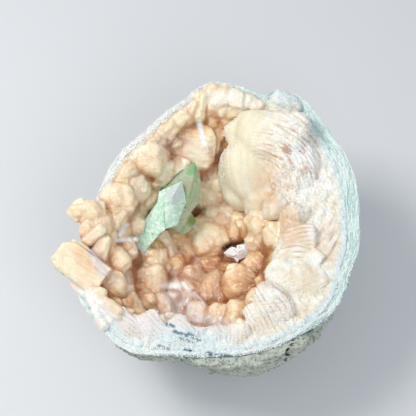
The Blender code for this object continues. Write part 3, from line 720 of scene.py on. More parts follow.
def rindMaterial():
    look = colours(pale="B8D4D0", light="E8F0EC", white="F1F4F2", slate="66828E")
    material, tree, shader = newMaterial("chalcedony", Roughness=0.42, IOR=1.53, Subsurface_Weight=0.25,
                                         Subsurface_Scale=0.002, Subsurface_Radius=(0.8, 0.9, 1.0))
    grain = useGroup(tree, sugarGrain, Vector=place(tree), Size_mm=1.2)
    streak = useGroup(tree, growthFibre, Vector=attribute(tree, "fibre", "Vector"), Size_mm=1.6, Stretch=0.08)[0]
    colour = mixed(tree, spread(tree, streak, 0.35, 0.65), look["pale"], look["light"])
    bright = maths(tree, "MULTIPLY", spread(tree, grain["Value"], 0.6, 0.9), 0.6)
    colour = washed(tree, mixed(tree, bright, colour, look["light"]), look, "white", "slate")
    finish(tree, shader, colour, maths(tree, "ADD", grain["Height"], streak), 0.0005, 0.5)
    return material


def basaltMaterial():
    look = colours(stone="B7BDB1", light="CDD2C8", dark="7B8076", crack="14130F")
    material, tree, shader = newMaterial("basalt", Roughness=0.85, IOR=1.5)
    grain = useGroup(tree, sugarGrain, Vector=place(tree), Size_mm=1.1)
    blotch = noise(tree, 300.0, 4.0, Roughness=0.7)
    colour = ramp(tree, blotch, ((0.3, look["dark"]), (0.48, look["stone"]), (0.7, look["light"])))
    colour = mixed(tree, spread(tree, grain["Value"], 0.25, 0.05, 0.0, 0.8), colour, look["dark"])
    colour = washed(tree, colour, look, "crack")
    finish(tree, shader, colour, maths(tree, "ADD", grain["Height"], blotch), 0.0008, 0.7)
    return material


clearPatches = (  # across, up and near of the middle, outer and inner reach, strength, tint
    # the dark olive patch at (-9, -6.5) is painted shade, the gap behind the crystal seen through it
    ((-8, 23, -13), 8, 3, 0.8, "A6DE9C"), ((-11.5, 13, -9), 6, 2, 0.55, "E2CDA8"),
    ((-9, -6.5, -17), 5.5, 2, 0.85, "8FA94E"), ((-7, 7, -16), 8, 3, 0.5, "D3EDC6"),
)


def clearMaterial():
    look = colours(clear="ECFADC", veil="FBFFF4", green="C9EDBC")
    material, tree, shader = newMaterial("apophyllite clear", Roughness=0.02, IOR=1.535, Transmission_Weight=0.5)
    absorbing(tree)
    veil = noise(tree, 190.0, 4.0, Distortion=1.2)
    colour = mixed(tree, spread(tree, veil, 0.52, 0.62), look["clear"], look["veil"])
    colour = mixed(tree, spread(tree, veil, 0.48, 0.38), colour, look["green"])
    for patch in clearPatches:
        colour = near(tree, colour, *patch)
    finish(tree, shader, colour, noise(tree, 420.0, 3.0), 0.0003, 0.4)
    return material


def absorbing(tree):
    absorb = addNode(tree, "ShaderNodeVolumeAbsorption", {"Color": (0.74, 0.97, 0.70, 1.0), "Density": 5.0})
    tree.links.new(absorb.outputs[0], tree.nodes["Material Output"].inputs["Volume"])


def frostMaterial():
    look = colours(mint="CBF0DA", white="F8FFFA", green="A5D8B8")
    material, tree, shader = newMaterial("apophyllite frosted", Roughness=0.2, IOR=1.535, Transmission_Weight=0.1)
    fine, patch = noise(tree, 620.0, 4.0, Roughness=0.7), noise(tree, 210.0, 3.0)
    colour = mixed(tree, spread(tree, fine, 0.53, 0.6), look["mint"], look["white"])
    colour = mixed(tree, spread(tree, fine, 0.45, 0.36), colour, look["green"])
    colour = mixed(tree, spread(tree, patch, 0.52, 0.64, 0.0, 0.7), colour, look["white"])
    colour = near(tree, colour, (-18.5, 8.5, -3.0), 8.0, 4.5, 0.6, "CFD2D8")  # the lilac facet
    absorbing(tree)
    finish(tree, shader, colour, fine, 0.0005, 0.6)
    return material


def sugarMaterial():
    if "sugar" in bpy.data.materials:
        return bpy.data.materials["sugar"]
    return newMaterial("sugar", Roughness=0.35, IOR=1.5, Base_Color=hexColour("F5F2EE"), Subsurface_Weight=0.4,
                       Subsurface_Scale=0.001, Subsurface_Radius=(1.0, 0.9, 0.8))[0]


def quartzMaterial():
    look = colours(white="FFFFFF", grey="CDD0DA")
    material, tree, shader = newMaterial("quartz", Roughness=0.2, IOR=1.545, Transmission_Weight=0.12)
    grain = useGroup(tree, sugarGrain, Vector=place(tree), Size_mm=0.9)
    colour = mixed(tree, spread(tree, grain["Value"], 0.25, 0.1), look["white"], look["grey"])
    finish(tree, shader, colour, grain["Height"], 0.0003, 0.4)
    return material


def dress(piece, node, slot, *materials):
    piece.data.materials.clear()
    for material in materials:
        piece.data.materials.append(material)
    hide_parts(node)
    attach(piece, "root")


# Sugary grains are set on a surface by nodes.
sugarGrains = {"Apart": 0.95 * mm, "Size": 0.8 * mm, "Seed": 4}


def makeSugarTree():
    tree = bpy.data.node_groups.new("sugarGrains", "GeometryNodeTree")
    tree.interface.new_socket("Geometry", in_out="INPUT", socket_type="NodeSocketGeometry")
    for label, kind in (("Apart", "NodeSocketFloat"), ("Size", "NodeSocketFloat"), ("Seed", "NodeSocketInt"),
                        ("Material", "NodeSocketMaterial")):
        tree.interface.new_socket(label, in_out="INPUT", socket_type=kind)
    tree.interface.new_socket("Geometry", in_out="OUTPUT", socket_type="NodeSocketGeometry")
    given, result = tree.nodes.new("NodeGroupInput").outputs, tree.nodes.new("NodeGroupOutput")
    where = addNode(tree, "GeometryNodeInputNamedAttribute", {"Name": "grainy"}, data_type="FLOAT")
    spots = addNode(tree, "GeometryNodeDistributePointsOnFaces", {"Mesh": given["Geometry"], "Density Max": 2.2e6,
                    "Distance Min": given["Apart"], "Density Factor": where.outputs[0], "Seed": given["Seed"]},
                    distribute_method="POISSON")
    grain = addNode(tree, "GeometryNodeMeshCube", {"Size": (1.0, 0.75, 0.6)})
    spin = addNode(tree, "FunctionNodeRandomValue", data_type="FLOAT_VECTOR")
    spin.inputs[1].default_value = (math.tau, math.tau, math.tau)
    vary = addNode(tree, "FunctionNodeRandomValue", {2: 0.55, 3: 1.35}, data_type="FLOAT")
    size = maths(tree, "MULTIPLY", vary.outputs[1], given["Size"])
    placed = addNode(tree, "GeometryNodeInstanceOnPoints", {"Points": spots.outputs[0], "Instance": grain.outputs[0],
                                                            "Rotation": spin.outputs[0], "Scale": size})
    real = addNode(tree, "GeometryNodeRealizeInstances", {"Geometry": placed.outputs[0]})
    coated = addNode(tree, "GeometryNodeSetMaterial", {"Geometry": real.outputs[0], "Material": given["Material"]})
    tree.links.new(coated.outputs[0], result.inputs[0])
    return tree


def sugar(source, name, node, slot):
    holder = newObject("holder", source.data.copy())
    nodes = holder.modifiers.new("sugar", "NODES")
    nodes.node_group = sugarTree
    values = dict(sugarGrains, Material=sugarMaterial())
    for item in sugarTree.interface.items_tree:
        if item.in_out == "INPUT" and item.name in values:
            nodes[item.identifier] = values[item.name]
    mesh = finished(holder)
    bpy.data.objects.remove(holder)
    dress(newObject(f"{name}_0", mesh), node, slot, sugarMaterial())


sugarTree = makeSugarTree()


basalt = {
    "around": 420, "rows": 110, "innerRows": 9, "sideRows": 14, "sharp": 40,
    "relief": ((34, 5, 0.6), (9, 6, 0.5), (2.6, 7, 0.32)), "ledge": (2.4, 9, 0.3), "ledgeSwell": 0.5,
    "pits": {"size": 4.4 * mm, "seed": 8, "from": 0.9, "depth": 0.7},
    "crack": {"across": 47, "from": -73.5, "to": -86, "half": 0.95},
}


def middleAt(height):
    return np.array((*centre, height))


def makeBasalt():
    angle = np.arange(basalt["around"]) * math.tau / basalt["around"]
    edge, pits, crack = basaltEdge(angle), basalt["pits"], basalt["crack"]

    def turns(count):
        return edge + (math.pi / 2 - edge) * np.linspace(0, 1, count)[:-1, None]

    outer = bowlPoint(angle[None], turns(basalt["rows"]), -basaltWidth(angle), bowl["basaltBottom"])
    out = np.stack((np.cos(angle), np.sin(angle), np.full(len(angle), -0.5)), -1) / math.sqrt(1.25)
    pitted = np.maximum(waves(outer, pits["size"], pits["seed"]) - pits["from"], 0) * pits["depth"]
    outer = outer + out * ((layered(outer, *basalt["relief"]) - pitted) * mm)[..., None]
    bottom = bowl["rindBottom"] - bowl["gap"]
    inner = bowlPoint(angle[None], turns(basalt["innerRows"]), -bowl["gap"], bottom)
    side = np.linspace(0, 1, basalt["sideRows"] + 2)[1:-1, None, None]
    ledge = inner[0] + (outer[0] - inner[0]) * side
    ledge[..., 2] += (layered(ledge, basalt["ledge"]) + np.sin(side * math.pi)[..., 0] * basalt["ledgeSwell"]) * mm
    rings = np.concatenate((inner[::-1], ledge, outer))
    rings[..., 2] = np.maximum(rings[..., 2], 0)
    piece = closedRings("basalt_host", rings, middleAt(bottom), middleAt(0.0), basalt["sharp"])
    across, up = seenPlace(vectorsOf(piece))
    run = unit((up + 74) / -11)
    off = abs(across - (crack["across"] - 4 * run + 0.7 * np.sin(run * 9)))
    dots = np.sin(up * 2.2) > -0.5
    store(piece, "crack", (off < crack["half"]) * (up < crack["from"]) * (up > crack["to"]) * dots)
    dress(piece, "basalt_matrix", "basalt", basaltMaterial())


rind = {
    "around": 900, "rows": 22, "outerRows": 46, "innerRows": 8, "sharp": 45,
    "side": ((8, 21, 0.25), (2.5, 22, 0.12)), "streak": (1.3, 23, 0.22), "top": ((1.4, 24, 0.16), (9, 25, 0.3)),
    "slateEdge": 1.3 * mm,
}
slateStrokes = (
    (-24.5, -64.6, -19.5, -66.2, 1.1, 1), (-19, -69, -12, -71.5, 1, 1), (-11, -70.5, -5, -74, 1.2, 1),
    (-16, -73, -9, -75, 0.8, 0.9), (-13, -79, -8, -80.5, 0.8, 0.9), (0, -81.5, 5, -83, 1.3, 1),
    (8, -82.5, 13, -83.5, 1.1, 1), (-28, -77, -22, -79, 0.9, 0.8),
)


def makeRind():
    angle = np.arange(rind["around"]) * math.tau / rind["around"]
    turn = np.linspace(0, math.pi / 2, rind["outerRows"])[:-1, None]
    outer = bowlPoint(angle[None], turn, np.zeros(len(angle)), bowl["rindBottom"])
    out = np.stack((np.cos(angle), np.sin(angle), np.full(len(angle), -0.4)), -1)
    outer[1:] += out * (layered(outer[1:], *rind["side"]) * mm)[..., None]
    turn = np.linspace(0, math.pi / 2, rind["innerRows"])[:-1, None]
    inner = bowlPoint(angle[None], turn, rindWidth(angle), bowl["wallBottom"] - bowl["gap"])
    share = np.linspace(0, 1, rind["rows"] + 2)[1:-1, None, None]
    top = outer[0] + (inner[0] - outer[0]) * share
    inset = share[..., 0] * rindWidth(angle)
    lines = layered(np.stack((np.broadcast_to(angle * 0.012, inset.shape), inset), -1), rind["streak"])
    top[..., 2] += (lines + layered(top, *rind["top"])) * mm
    rings = np.concatenate((inner[::-1], top[::-1], outer))
    first, last = middleAt(bowl["wallBottom"] - bowl["gap"]), middleAt(bowl["rindBottom"])
    piece = closedRings("chalcedony_shell", rings, first, last, rind["sharp"])
    points = vectorsOf(piece)
    angle, length = aroundCentre(points[:, 0], points[:, 1])
    gone = reachAt(rimPolar, angle) - length
    store(piece, "fibre", np.stack((angle * 0.07, gone, gone * 0), -1))
    slate = stroked(points, slateStrokes)
    border = unit(swell(angle, -62, 66) * 4) * unit(1.25 - gone / rind["slateEdge"])
    specks = border * (waves(points, 1.2 * mm, 26) > 0.2)
    store(piece, "slate", unit(slate * (waves(points, 2.2 * mm, 27) > -0.7) + specks))
    onTop = unit((points[:, 2] - rimHeight(points[:, 0], points[:, 1]) + 1.5 * mm) / mm)
    backLeft, front = unit(swell(angle, 127, 62) * 3), unit(swell(angle, -90, 62) * 2)
    store(piece, "grainy", onTop * np.maximum(backLeft, front * 0.5) * (1 - unit(slate)))
    store(piece, "white", np.maximum(backLeft, front * 0.6))
    dress(piece, "chalcedony_rind", "chalcedony", rindMaterial())
    return piece


wall = {
    "rimRows": 60, "hollowRows": 14, "outerRows": 8, "fine": 0.0066, "coarse": 250, "step": 0.54 * mm,
    "low": (-0.066, -0.09, 0.055), "high": (0.080, 0.088, 0.112), "depth": 2.5 * mm,
    "melt": {"round": 2.8 * mm, "ball": 1.3 * mm, "slab": 1.3 * mm},
    "relief": ((6, 31, 0.35), (2.4, 32, 0.18), (1.2, 33, 0.12)),
}
wallPatches = {  # soft patches on the view: across, up, half width, half height, edge, strength
    "dome": ((20, 24, 20, 30, 1.6, 1),), "peach": ((36, 12, 14, 20, 1.2, 0.8), (44, -8, 12, 14, 1.2, 1)),
    "sugar": ((60, 32, 23, 36, 1.5, 1), (37, -54, 12, 13, 1.3, 0.8)), "lilac": ((-20, -66, 34, 9, 1.5, 0.6),),
    "cleaved": ((59.5, -28.5, 4.6, 3.8, 1.3, 1),), "grains": ((46, 33, 17, 20, 1.3, 1), (68, -20, 7, 9, 1.4, 1)),
}
ridgedPatch, linedPatch = ((69, -33, 7, 16, 1.6, 1),), ((18, 24, 20, 30, 1.5, 1),)
sugaredPatch, streakedPatch = ((56, 34, 24, 26, 1.5, 1),), ((58, 32, 20, 34, 1.5, 0.6),)
rindwardPatch = ((-12, -74, 22, 8, 1.4, 1), (43, 61, 9, 5, 1.5, 0.8))
# Lumps and crystals: kind, across, up, lift, half length, half width, half depth, turn, and what differs.
wallLumps = (
    ("round", 27.6, 21.5, 4, 25.4, 21, 19, -16, {"lobes": 0}),
    ("round", 21, 10, 5, 15, 12.6, 13.5, -40, {"lobes": 0}), ("round", 30, 4, 3, 11, 9, 10, 10, {"lobes": 3}),
    ("round", 20.5, 45, 2.5, 12.5, 8, 10, 24, {"lobes": 0}),
    ("round", 37, 40, 0, 23, 17, 13, -8, {"lobes": 0}), ("round", 50, 22, -3, 17, 14, 11, 70, {"lobes": 0}),
    ("ball", 38, 0, -0.5, 8, 7, 8, 30, {"lobes": 3}), ("ball", 49.5, -4, -3, 9, 6.6, 6.4, 0, {"lobes": 3}),
    ("ball", 42.5, 59, 0, 10, 6.8, 7, -12, {"lobes": 4}),
    ("round", 51.5, -16.5, -2, 10.5, 8, 5.6, 4, {"lobes": 0, "groove": 2.2}),
    ("round", 48.5, -27.5, -2.6, 11.5, 8, 5.6, -8, {"lobes": 0, "groove": 2.7}),
    ("slab", 59.5, -28.5, -1.9, 5, 3.6, 4.2, 50, {"lobes": 1}),
    ("round", 45, -37, -4.2, 14, 10, 6.8, -30, {"lobes": 0}),
    ("round", 56, -41, -4.2, 11, 9, 6.5, 40, {"lobes": 0}),
    ("round", 37.5, -53.5, -0.2, 14, 9.4, 6.6, -60, {"lobes": 0, "groove": 3.2}),
    ("round", 29, -63, -2.6, 11, 7, 5, -66, {"lobes": 0, "groove": 2.4}),
    ("round", -16, -71, -3.4, 12, 9, 4.8, -48, {"lobes": 0, "groove": 1.9}),
    ("round", -32, -70, -3.4, 12, 9.5, 4.8, -60, {"lobes": 0, "groove": 2.2}),
    ("round", -46, -69, -3.4, 12, 9.5, 4.8, -45, {"lobes": 0, "groove": 2.0}),
    ("round", 3, -74, -3.4, 9, 9, 4.8, -70, {"lobes": 0, "groove": 1.9}),
    ("round", 17, -73.5, -3.4, 9, 9, 4.8, -95, {"lobes": 0, "groove": 2.2}),
)


def rimRelief(points):
    across, up = seenPlace(points)
    rough = layered(points, *wall["relief"])
    angle, length = aroundCentre(points[..., 0], points[..., 1])
    fibred = np.stack((angle * 70 * mm, length * 0.16, points[..., 2] * 0.1), -1)  # fibres that run out
    rough += waves(fibred, 2.2 * mm, 34) * 0.3 * np.clip((-up - 40) / 15, 0.25, 1)
    ridged = patched(across, up, ridgedPatch)  # upright ridges by the right edge
    rough = rough * (1 - 0.6 * ridged) + ridged * np.sin(across * 4.6 - up * 0.5 + 0.5 * np.sin(up * 0.4)) * 0.5
    return rough * mm


def makeRim():
    dense = np.arange(math.radians(-115), math.radians(100), wall["fine"])  # the back left needs fewer columns
    angle = np.concatenate((dense, np.linspace(dense[-1], dense[0] + math.tau, wall["coarse"])[1:-1]))
    turn = np.linspace(0, math.pi / 2, wall["outerRows"])[1:-1, None]
    outer = bowlPoint(angle[None], turn, rindWidth(angle) + bowl["gap"], bowl["wallBottom"])
    outside = reachAt(rimPolar, angle) - rindWidth(angle) + bowl["gap"]
    edge = np.minimum(reachAt(hollowPolar, angle), outside - 1.2 * mm)
    reach = np.concatenate((edge + (outside - edge) * np.linspace(1, 0, wall["rimRows"])[:, None],
                            edge * np.linspace(1, 0, wall["hollowRows"])[1:-1, None] ** 0.8))
    x, y = centre[0] + reach * np.cos(angle), centre[1] + reach * np.sin(angle)
    top = np.stack((x, y, ground(x, y)), -1)
    top[..., 2] += rimRelief(top)
    rings = np.concatenate((outer[::-1], top))
    piece = closedRings("stilbite_rim", rings, middleAt(bowl["wallBottom"]), middleAt(bowl["hollowFloor"]))
    paintWall(piece)
    return piece


def makeGrowths():
    field = newField(wall["low"], wall["high"], wall["step"])
    for index, (kind, *form, extra) in enumerate(wallLumps):
        for one in bundle(kind, *form, 400 + 7 * index, **extra):
            addForm(field, one, wall["melt"][kind])
    x, y, z = columnsOf(field)
    field["value"] = np.maximum(field["value"], (ground(x, y) - wall["depth"])[..., None] - z)
    piece = skinOf("stilbite_growths", field)
    points, normals = vectorsOf(piece), vectorsOf(piece, "normal")
    owner, *_, local = nearestForms(field, points)
    across, up = seenPlace(points)
    hinge, lined = domeLines(across, up)
    relief = lined * (np.sin(hinge * 1.5 + 0.8 * waves(points, 14 * mm, 41)) * 0.10 + np.sin(hinge * 3.4) * 0.05)
    rough = unit(np.hypot((across - 14) / 26, (up - 18) / 34) - 0.6)
    sheaf = np.array([form["groove"] > 0 for form in field["forms"]])[owner]
    relief += rough * (1 - sheaf) * layered(points, (2.6, 42, 0.09), (1.3, 43, 0.08))
    relief += waves(points, 9 * mm, 44) * (0.08 + 0.2 * (1 - lined)) * (1 - 0.8 * sheaf)
    relief -= grooved(field, owner, local) * 0.6
    relief += sheaf * waves(local * (0.06, 1, 0.2), 1.9 * mm, 45) * 0.1
    relief += patched(across, up, sugaredPatch) * waves(arcsOf(points), 2.4 * mm, 46) * 0.3
    putPoints(piece, points + normals * (relief * mm)[:, None])
    paintWall(piece, grooved(field, owner, local))
    return piece


def arcsOf(points):  # the sugary streaks bend round the dome
    across, up = seenPlace(points)
    across, up = across - 25, up - 8
    return np.stack((np.arctan2(up, across) * 8, np.hypot(across, up)), -1) * mm


def domeLines(across, up):  # growth lines round the dome, parallel to its left edge
    return np.hypot(across - 52, (up - 27) * 0.9), patched(across, up, linedPatch)


def paintWall(piece, grooves=0.0):
    points = vectorsOf(piece)
    across, up = seenPlace(points)
    angle, length = aroundCentre(points[:, 0], points[:, 1])
    outward = reachAt(rimPolar, angle) - rindWidth(angle) - length
    backLeft, front = unit(swell(angle, 127, 60) * 3), unit(swell(angle, -90, 80) * 2) * 0.5
    for name, patches in wallPatches.items():
        store(piece, name, patched(across, up, patches))
    store(piece, "groove", np.zeros(len(points)) + grooves)
    rindward = unit(1.3 - outward / (3.5 * mm)) * (1 - backLeft)
    rindward = np.maximum(rindward, patched(across, up, rindwardPatch))
    store(piece, "rindward", rindward)
    store(piece, "slate", stroked(points, slateStrokes) * (waves(points, 2.2 * mm, 26) > -0.7))
    arcs = arcsOf(points)
    store(piece, "arcs", np.stack((arcs[:, 0], arcs[:, 1], arcs[:, 1] * 0), -1))
    hinge, lined = domeLines(across, up)
    store(piece, "lines", lined * (0.5 + 0.3 * np.sin(hinge * 1.5) + 0.2 * np.sin(hinge * 3.4)))
    streaky, patchy = unit(waves(arcs, 3.2 * mm, 49) * 0.8 + 0.4), unit(waves(points, 5 * mm, 48) * 0.6 + 0.7)
    grainy = patched(across, up, streakedPatch) * streaky + (rindward * 0.5 + front) * patchy
    store(piece, "grainy", unit(grainy * (1 - patched(across, up, ridgedPatch)) + backLeft))
    store(piece, "fibre", np.stack((angle * 0.07, length, points[:, 2]), -1))
    # painted shade: the orange glow of crevices
    store(piece, "orange", stroked(points, orangeStrokes) * 0.5)
    piece.data.shade_smooth()
    dress(piece, "stilbite_wall", "stilbite_wall", wallMaterial())


crustCrystals = (
    ("ball", -72, -1.5, 5, 6, 5, 5, 35), ("ball", -65, -2.5, 4, 6.4, 6.2, 6, 0),
    ("ball", -67, -13, 3, 5, 4.6, 4.5, -60), ("block", -64, -15.5, 4.5, 7.4, 2.8, 3.5, 42),
    ("ball", -60, -8.5, 3, 6, 5.6, 5, 0), ("block", -60.5, -22.5, 4.5, 7.8, 4.4, 5, 80),
    ("slab", -71.8, -32.6, 4.8, 14.6, 7.6, 7, -40, {"lobes": 1, "groove": 3.4}),
    ("slab", -67, -28.6, 3.2, 13, 3.4, 7, -43, {"lobes": 1}),
    ("round", -68.5, -44.5, 0.5, 7.5, 4.6, 5, -44, {"lobes": 1}),
    ("round", -51.5, 5.5, 4.5, 10.4, 7.8, 7, -6), ("round", -53, -5, 6, 8, 6.8, 6, 10),
    ("round", -34, 4.5, 7, 6.6, 6.2, 6.5, 0), ("round", -41.4, -9.5, 8, 6.3, 6.5, 6.5, 0),
    ("round", -41, -1.5, 5, 6.5, 6, 6.5, 0), ("round", -34.5, 28, 5.5, 12, 9, 9, -14, {"lobes": 1}),
    ("round", -20, 23.5, 6.5, 9.4, 7.4, 8, -24, {"lobes": 1}), ("round", -26.5, 18.5, 7, 7.4, 7.2, 7, 0),
    ("round", -42.5, 13, 6, 10.6, 6.4, 6.5, -38), ("round", -48, 20, 3, 7, 6, 5.5, 30),
    ("ball", -30, 12, 5, 5.6, 5, 5.5, 0), ("block", -48, -12, 9, 4.6, 1.5, 3, 62),
    ("block", -45.5, -17.6, 8, 6.4, 1.3, 3.5, -4), ("ball", -57, -16.5, 5, 5.6, 5.2, 5, 0),
    ("ball", -50.5, -15.5, 5, 6.2, 5.4, 5, 0), ("block", -47.5, -23.5, 7, 7.4, 5, 5.5, 18),
    ("block", -53, -31.5, 8, 9.8, 6.2, 7, 38), ("round", -55.5, -42.5, 8, 8.2, 7.4, 6.5, 0),
    ("ball", -62.5, -50, 2.5, 5.6, 5, 5, 0), ("block", -45.5, -42, 6, 7, 2.8, 5.5, -78),
    ("block", -57, -58.5, 1.6, 9.5, 7, 5.5, -52, {"lobes": 4, "fan": 10.0}),
    ("ball", -43, -57.5, 1, 9, 6.4, 5, -60), ("round", -32, -41.5, 9, 9, 8, 7.5, 20),
    ("round", -31, -31.5, 8.5, 9, 7.8, 7.5, 75), ("ball", -30, -23.5, 6, 7.2, 6.2, 7, 60),
    ("block", -24, -20.5, 9, 8.8, 4, 5.5, -66), ("ball", -18, -18, 6, 8.4, 5.4, 6, -74),
    ("ball", -19.5, -32.5, 8, 6.6, 6, 6.5, 0), ("ball", -13.5, -24.5, 6, 9.4, 5.2, 6, -74),
    ("round", 0.5, -17.5, 6, 11.4, 10.2, 9.5, 0), ("ball", -3.5, -10.5, 5, 7.6, 6, 7, 10),
    ("round", 4, -3.5, 4, 6.8, 6.2, 6.5, 0), ("ball", 8.5, -8.5, 4, 6.4, 5.8, 6, 60),
    ("round", 12, -4.5, 3, 6, 6.2, 6, 0), ("round", 1, 11.5, 3.5, 11.2, 9.4, 9, 80),
    ("round", 5.5, 22, 3, 8, 7, 7, 60), ("ball", 10.5, 3, 2, 6.4, 5.6, 6, 0),
    ("round", 18, -9.5, 3.6, 8.2, 5, 5.5, 82), ("round", 24, -12, 3.6, 7.2, 5, 5.5, 76),
    ("round", 31, -9.5, 4.5, 8.8, 7.8, 7.5, 0), ("ball", 37, -14.5, 4, 6.4, 5, 6, 78),
    ("round", 28.5, -20.5, 4.5, 7.4, 6, 6.5, -30), ("ball", 26.5, -31.5, 5, 6.6, 6.2, 6.5, 0),
    ("ball", 13, -35, 3.6, 10.2, 3.8, 5, 13), ("ball", 1.5, -32.5, 4, 7.2, 5.6, 6, -10),
    ("ball", -8, -31, 2.5, 7.4, 5.4, 6, 0), ("ball", -9.5, -40, 6.5, 8.2, 6.4, 6.5, 20),
    ("ball", 3.4, -46, 7, 9, 7.6, 7.5, 80), ("ball", 18.5, -43, 7.5, 10.2, 9.6, 8.5, -20),
    ("round", -14, -51, 7, 11.5, 8.6, 6, -60, {"lobes": 0, "groove": 1.7}),
    ("round", -24.5, -55.5, 5, 9, 5.4, 6, -74, {"lobes": 0, "groove": 1.7}),
    ("ball", -36.5, -53, 4, 7.4, 6.4, 6, -30), ("block", -6, -61.5, 6, 9.2, 5, 7, 88),
    ("ball", 5, -61.5, 6, 7.8, 6.6, 7, 90), ("round", 17.5, -61, 6.2, 9, 6.8, 7, 84, {"lobes": 2}),
    ("ball", 28, -51, 3.5, 6.6, 5.8, 6, 0), ("block", -12, 35, 5.5, 16.5, 11, 7, -10, {"lobes": 1}),
    ("block", -3.6, 42, 9, 6.8, 1.5, 3.5, -74), ("block", 2.2, 41, 6, 10.8, 3.6, 5, 88),
    ("ball", 6.8, 42, 3.5, 5, 4.4, 5, 90), ("ball", 8, 33, 2, 7, 5, 5.5, 90),
    ("block", -5, 57, 4, 8.8, 3.2, 5, 82), ("block", -10.5, 54, 3, 7.6, 3.2, 5, 70),
    ("ball", 1.5, 57.5, 4, 6, 5.2, 5.5, 90), ("block", -16.5, 50, 2, 7.8, 4, 5, 30),
    ("ball", -23.5, 44, 2, 6.6, 5.4, 5, 40), ("ball", -31, 37, 2, 6, 5, 5, 40),
    ("ball", 7.5, 62.5, 3, 5.6, 5.4, 5, 90), ("ball", 15.4, 62, 3, 5.2, 4.2, 4.4, 80),
    ("ball", 11.5, 55.5, 2.5, 5.4, 4.6, 5, 6), ("ball", 18.5, 55.5, 1.5, 5, 4.2, 4.6, 30),
    ("ball", 22, 60, 0.5, 4.6, 4, 4.2, 0), ("ball", 27, 57.5, 0, 3.6, 3.2, 3.6, 0),
    ("ball", 8.5, 50, 2, 5.6, 5, 5.5, 0), ("ball", 2.5, 65, 2.5, 5.2, 4.8, 4.5, 0),
)
crust = {
    "step": 0.65 * mm, "low": (-0.093, -0.086, 0.033), "high": (0.048, 0.083, 0.112), "swell": 1.14,
    "meltLobe": 2.0 * mm, "meltBlock": 0.8 * mm, "meltFill": 2.6 * mm, "fillDepth": 1.8 * mm, "fillSoft": 6,
    "under": 1.4 * mm, "small": 60, "seam": 1.0 * mm, "sides": 2.6 * mm, "cleft": 1.5 * mm, "near": 1.2 * mm,
    "fillRelief": ((7, 51, 0.5), (3, 52, 0.25)), "rimRelief": ((5, 53, 0.8), (2.4, 54, 0.5)),
    # painted shade over regions of the view, lighter where the strength is below 0: across, up, half width, half
    # height, edge, strength
    "tan": ((4, -38, 26, 14, 1.5, 0.6), (-20, 36, 24, 20, 1.5, -0.15), (4, -10, 18, 10, 1.5, -0.22),
            (-71, -33, 13, 10, 1.5, 0.3)),
}
# Strokes on the view: from across and up, to across and up, half width, strength.
# white blades and pale crust; the short strokes at (-8.5, -9.5) and (10.5, -3) are painted highlights on lobes
whiteStrokes = (
    (-5, 48, -2.2, 36, 1.4, 1), (-46, -36.5, -43.8, -47, 1.3, 0.4), (-51, -18, -40.5, -17.2, 1.2, 0.9),
    (-46, -9.5, -49.5, -15, 1.5, 0.8), (-24, -43.5, -14, -43, 1.6, 0.7), (-13, -43.5, -2, -54, 1.3, 0.6),
    (-66, -53, -51, -68, 5.5, 0.75), (-77, -42, -66, -52, 3, 0.5), (14, 65.5, 18, 64, 2, 0.6),
    (4, 62, 26, 59, 4, 0.4), (-8.5, -9.5, -7, -11, 1, 0.7), (10.5, -3, 12, -4, 1, 0.6),
    (-20, -60, -30, -66, 6, 0.5), (-4, -62, 20, -66, 3, 0.5),
)
cleftStrokes = (
    (-37, 21, -34.5, 17.5, 1, 0.8), (-34.5, 17.5, -31, 15.2, 1.3, 1), (-31, 15.2, -26.5, 14, 1.1, 0.9),
    (-24.5, 31.5, -19, 28.5, 1.6, 0.5), (-19, 28.5, -14.5, 25.5, 1.6, 0.5), (-16, -38.5, -13, -45, 1, 0.8),
    (-8, -47, -2, -54, 1.2, 1), (2, 33, 3.6, 26, 1, 0.7), (4.5, 53, 6, 48, 1.2, 0.8),
)
paleStrokes = (
    (-80, -28, -64, -42, 6.5, 0.3), (2, 62, 27, 58, 5, 0.6), (-68, -48, -57, -66, 5, 0.7),
    (-34, 46, -14, 58, 4, 0.4), (-54, 22, -40, 36, 4, 0.5),
)
# painted shade: orange glow in the crevices between crystals
orangeStrokes = (
    (-35, 20, -28, 14.5, 1.7, 1), (-25, 31.5, -14, 25, 2.4, 0.5), (3, 53, 6.5, 48, 2.2, 0.9),
    (-16, -38, -13, -45, 1.8, 0.8), (-8, -46.5, -1, -55, 1.6, 1), (-45, -55, -38, -47, 2, 0.8),
    (32, -42.5, 37, -44.5, 0.9, 0.5), (-38, -22, -33, -29, 2, 0.6), (0, 33, 4, 25, 2, 0.6),
    (-14, -25, -9, -35, 2, 0.9), (20, -13, 30, -16, 2.5, 0.5),
)
# lilac crystals; the last stroke is a painted shadow on the side face of the big slab at the left
lilacStrokes = (
    (-21, -47, -9, -61, 6.5, 0.8), (-24, 35, 0, 30, 7, 0.35), (-20, -35, -17, -40, 3, 0.4),
    (-64.5, -25, -58.5, -36, 2.8, 0.9),
)
# painted shadow: a black gap by the quartz where the crust opens into shade
darkStrokes = ((8.5, -22.6, 12.5, -21, 1.3, 1), (14.0, -20.6, 19.5, -18.8, 0.9, 0.9))


def crustForms():
    forms = []
    for index, (kind, across, up, lift, long, wide, deep, turn, *extra) in enumerate(crustCrystals):
        grown = crust["swell"] if kind in growth["facets"] else 1.0
        forms += bundle(kind, across, up, lift, long * grown, wide * grown, deep * grown, turn, 1000 + 11 * index,
                        **(extra[0] if extra else {}))
    return forms


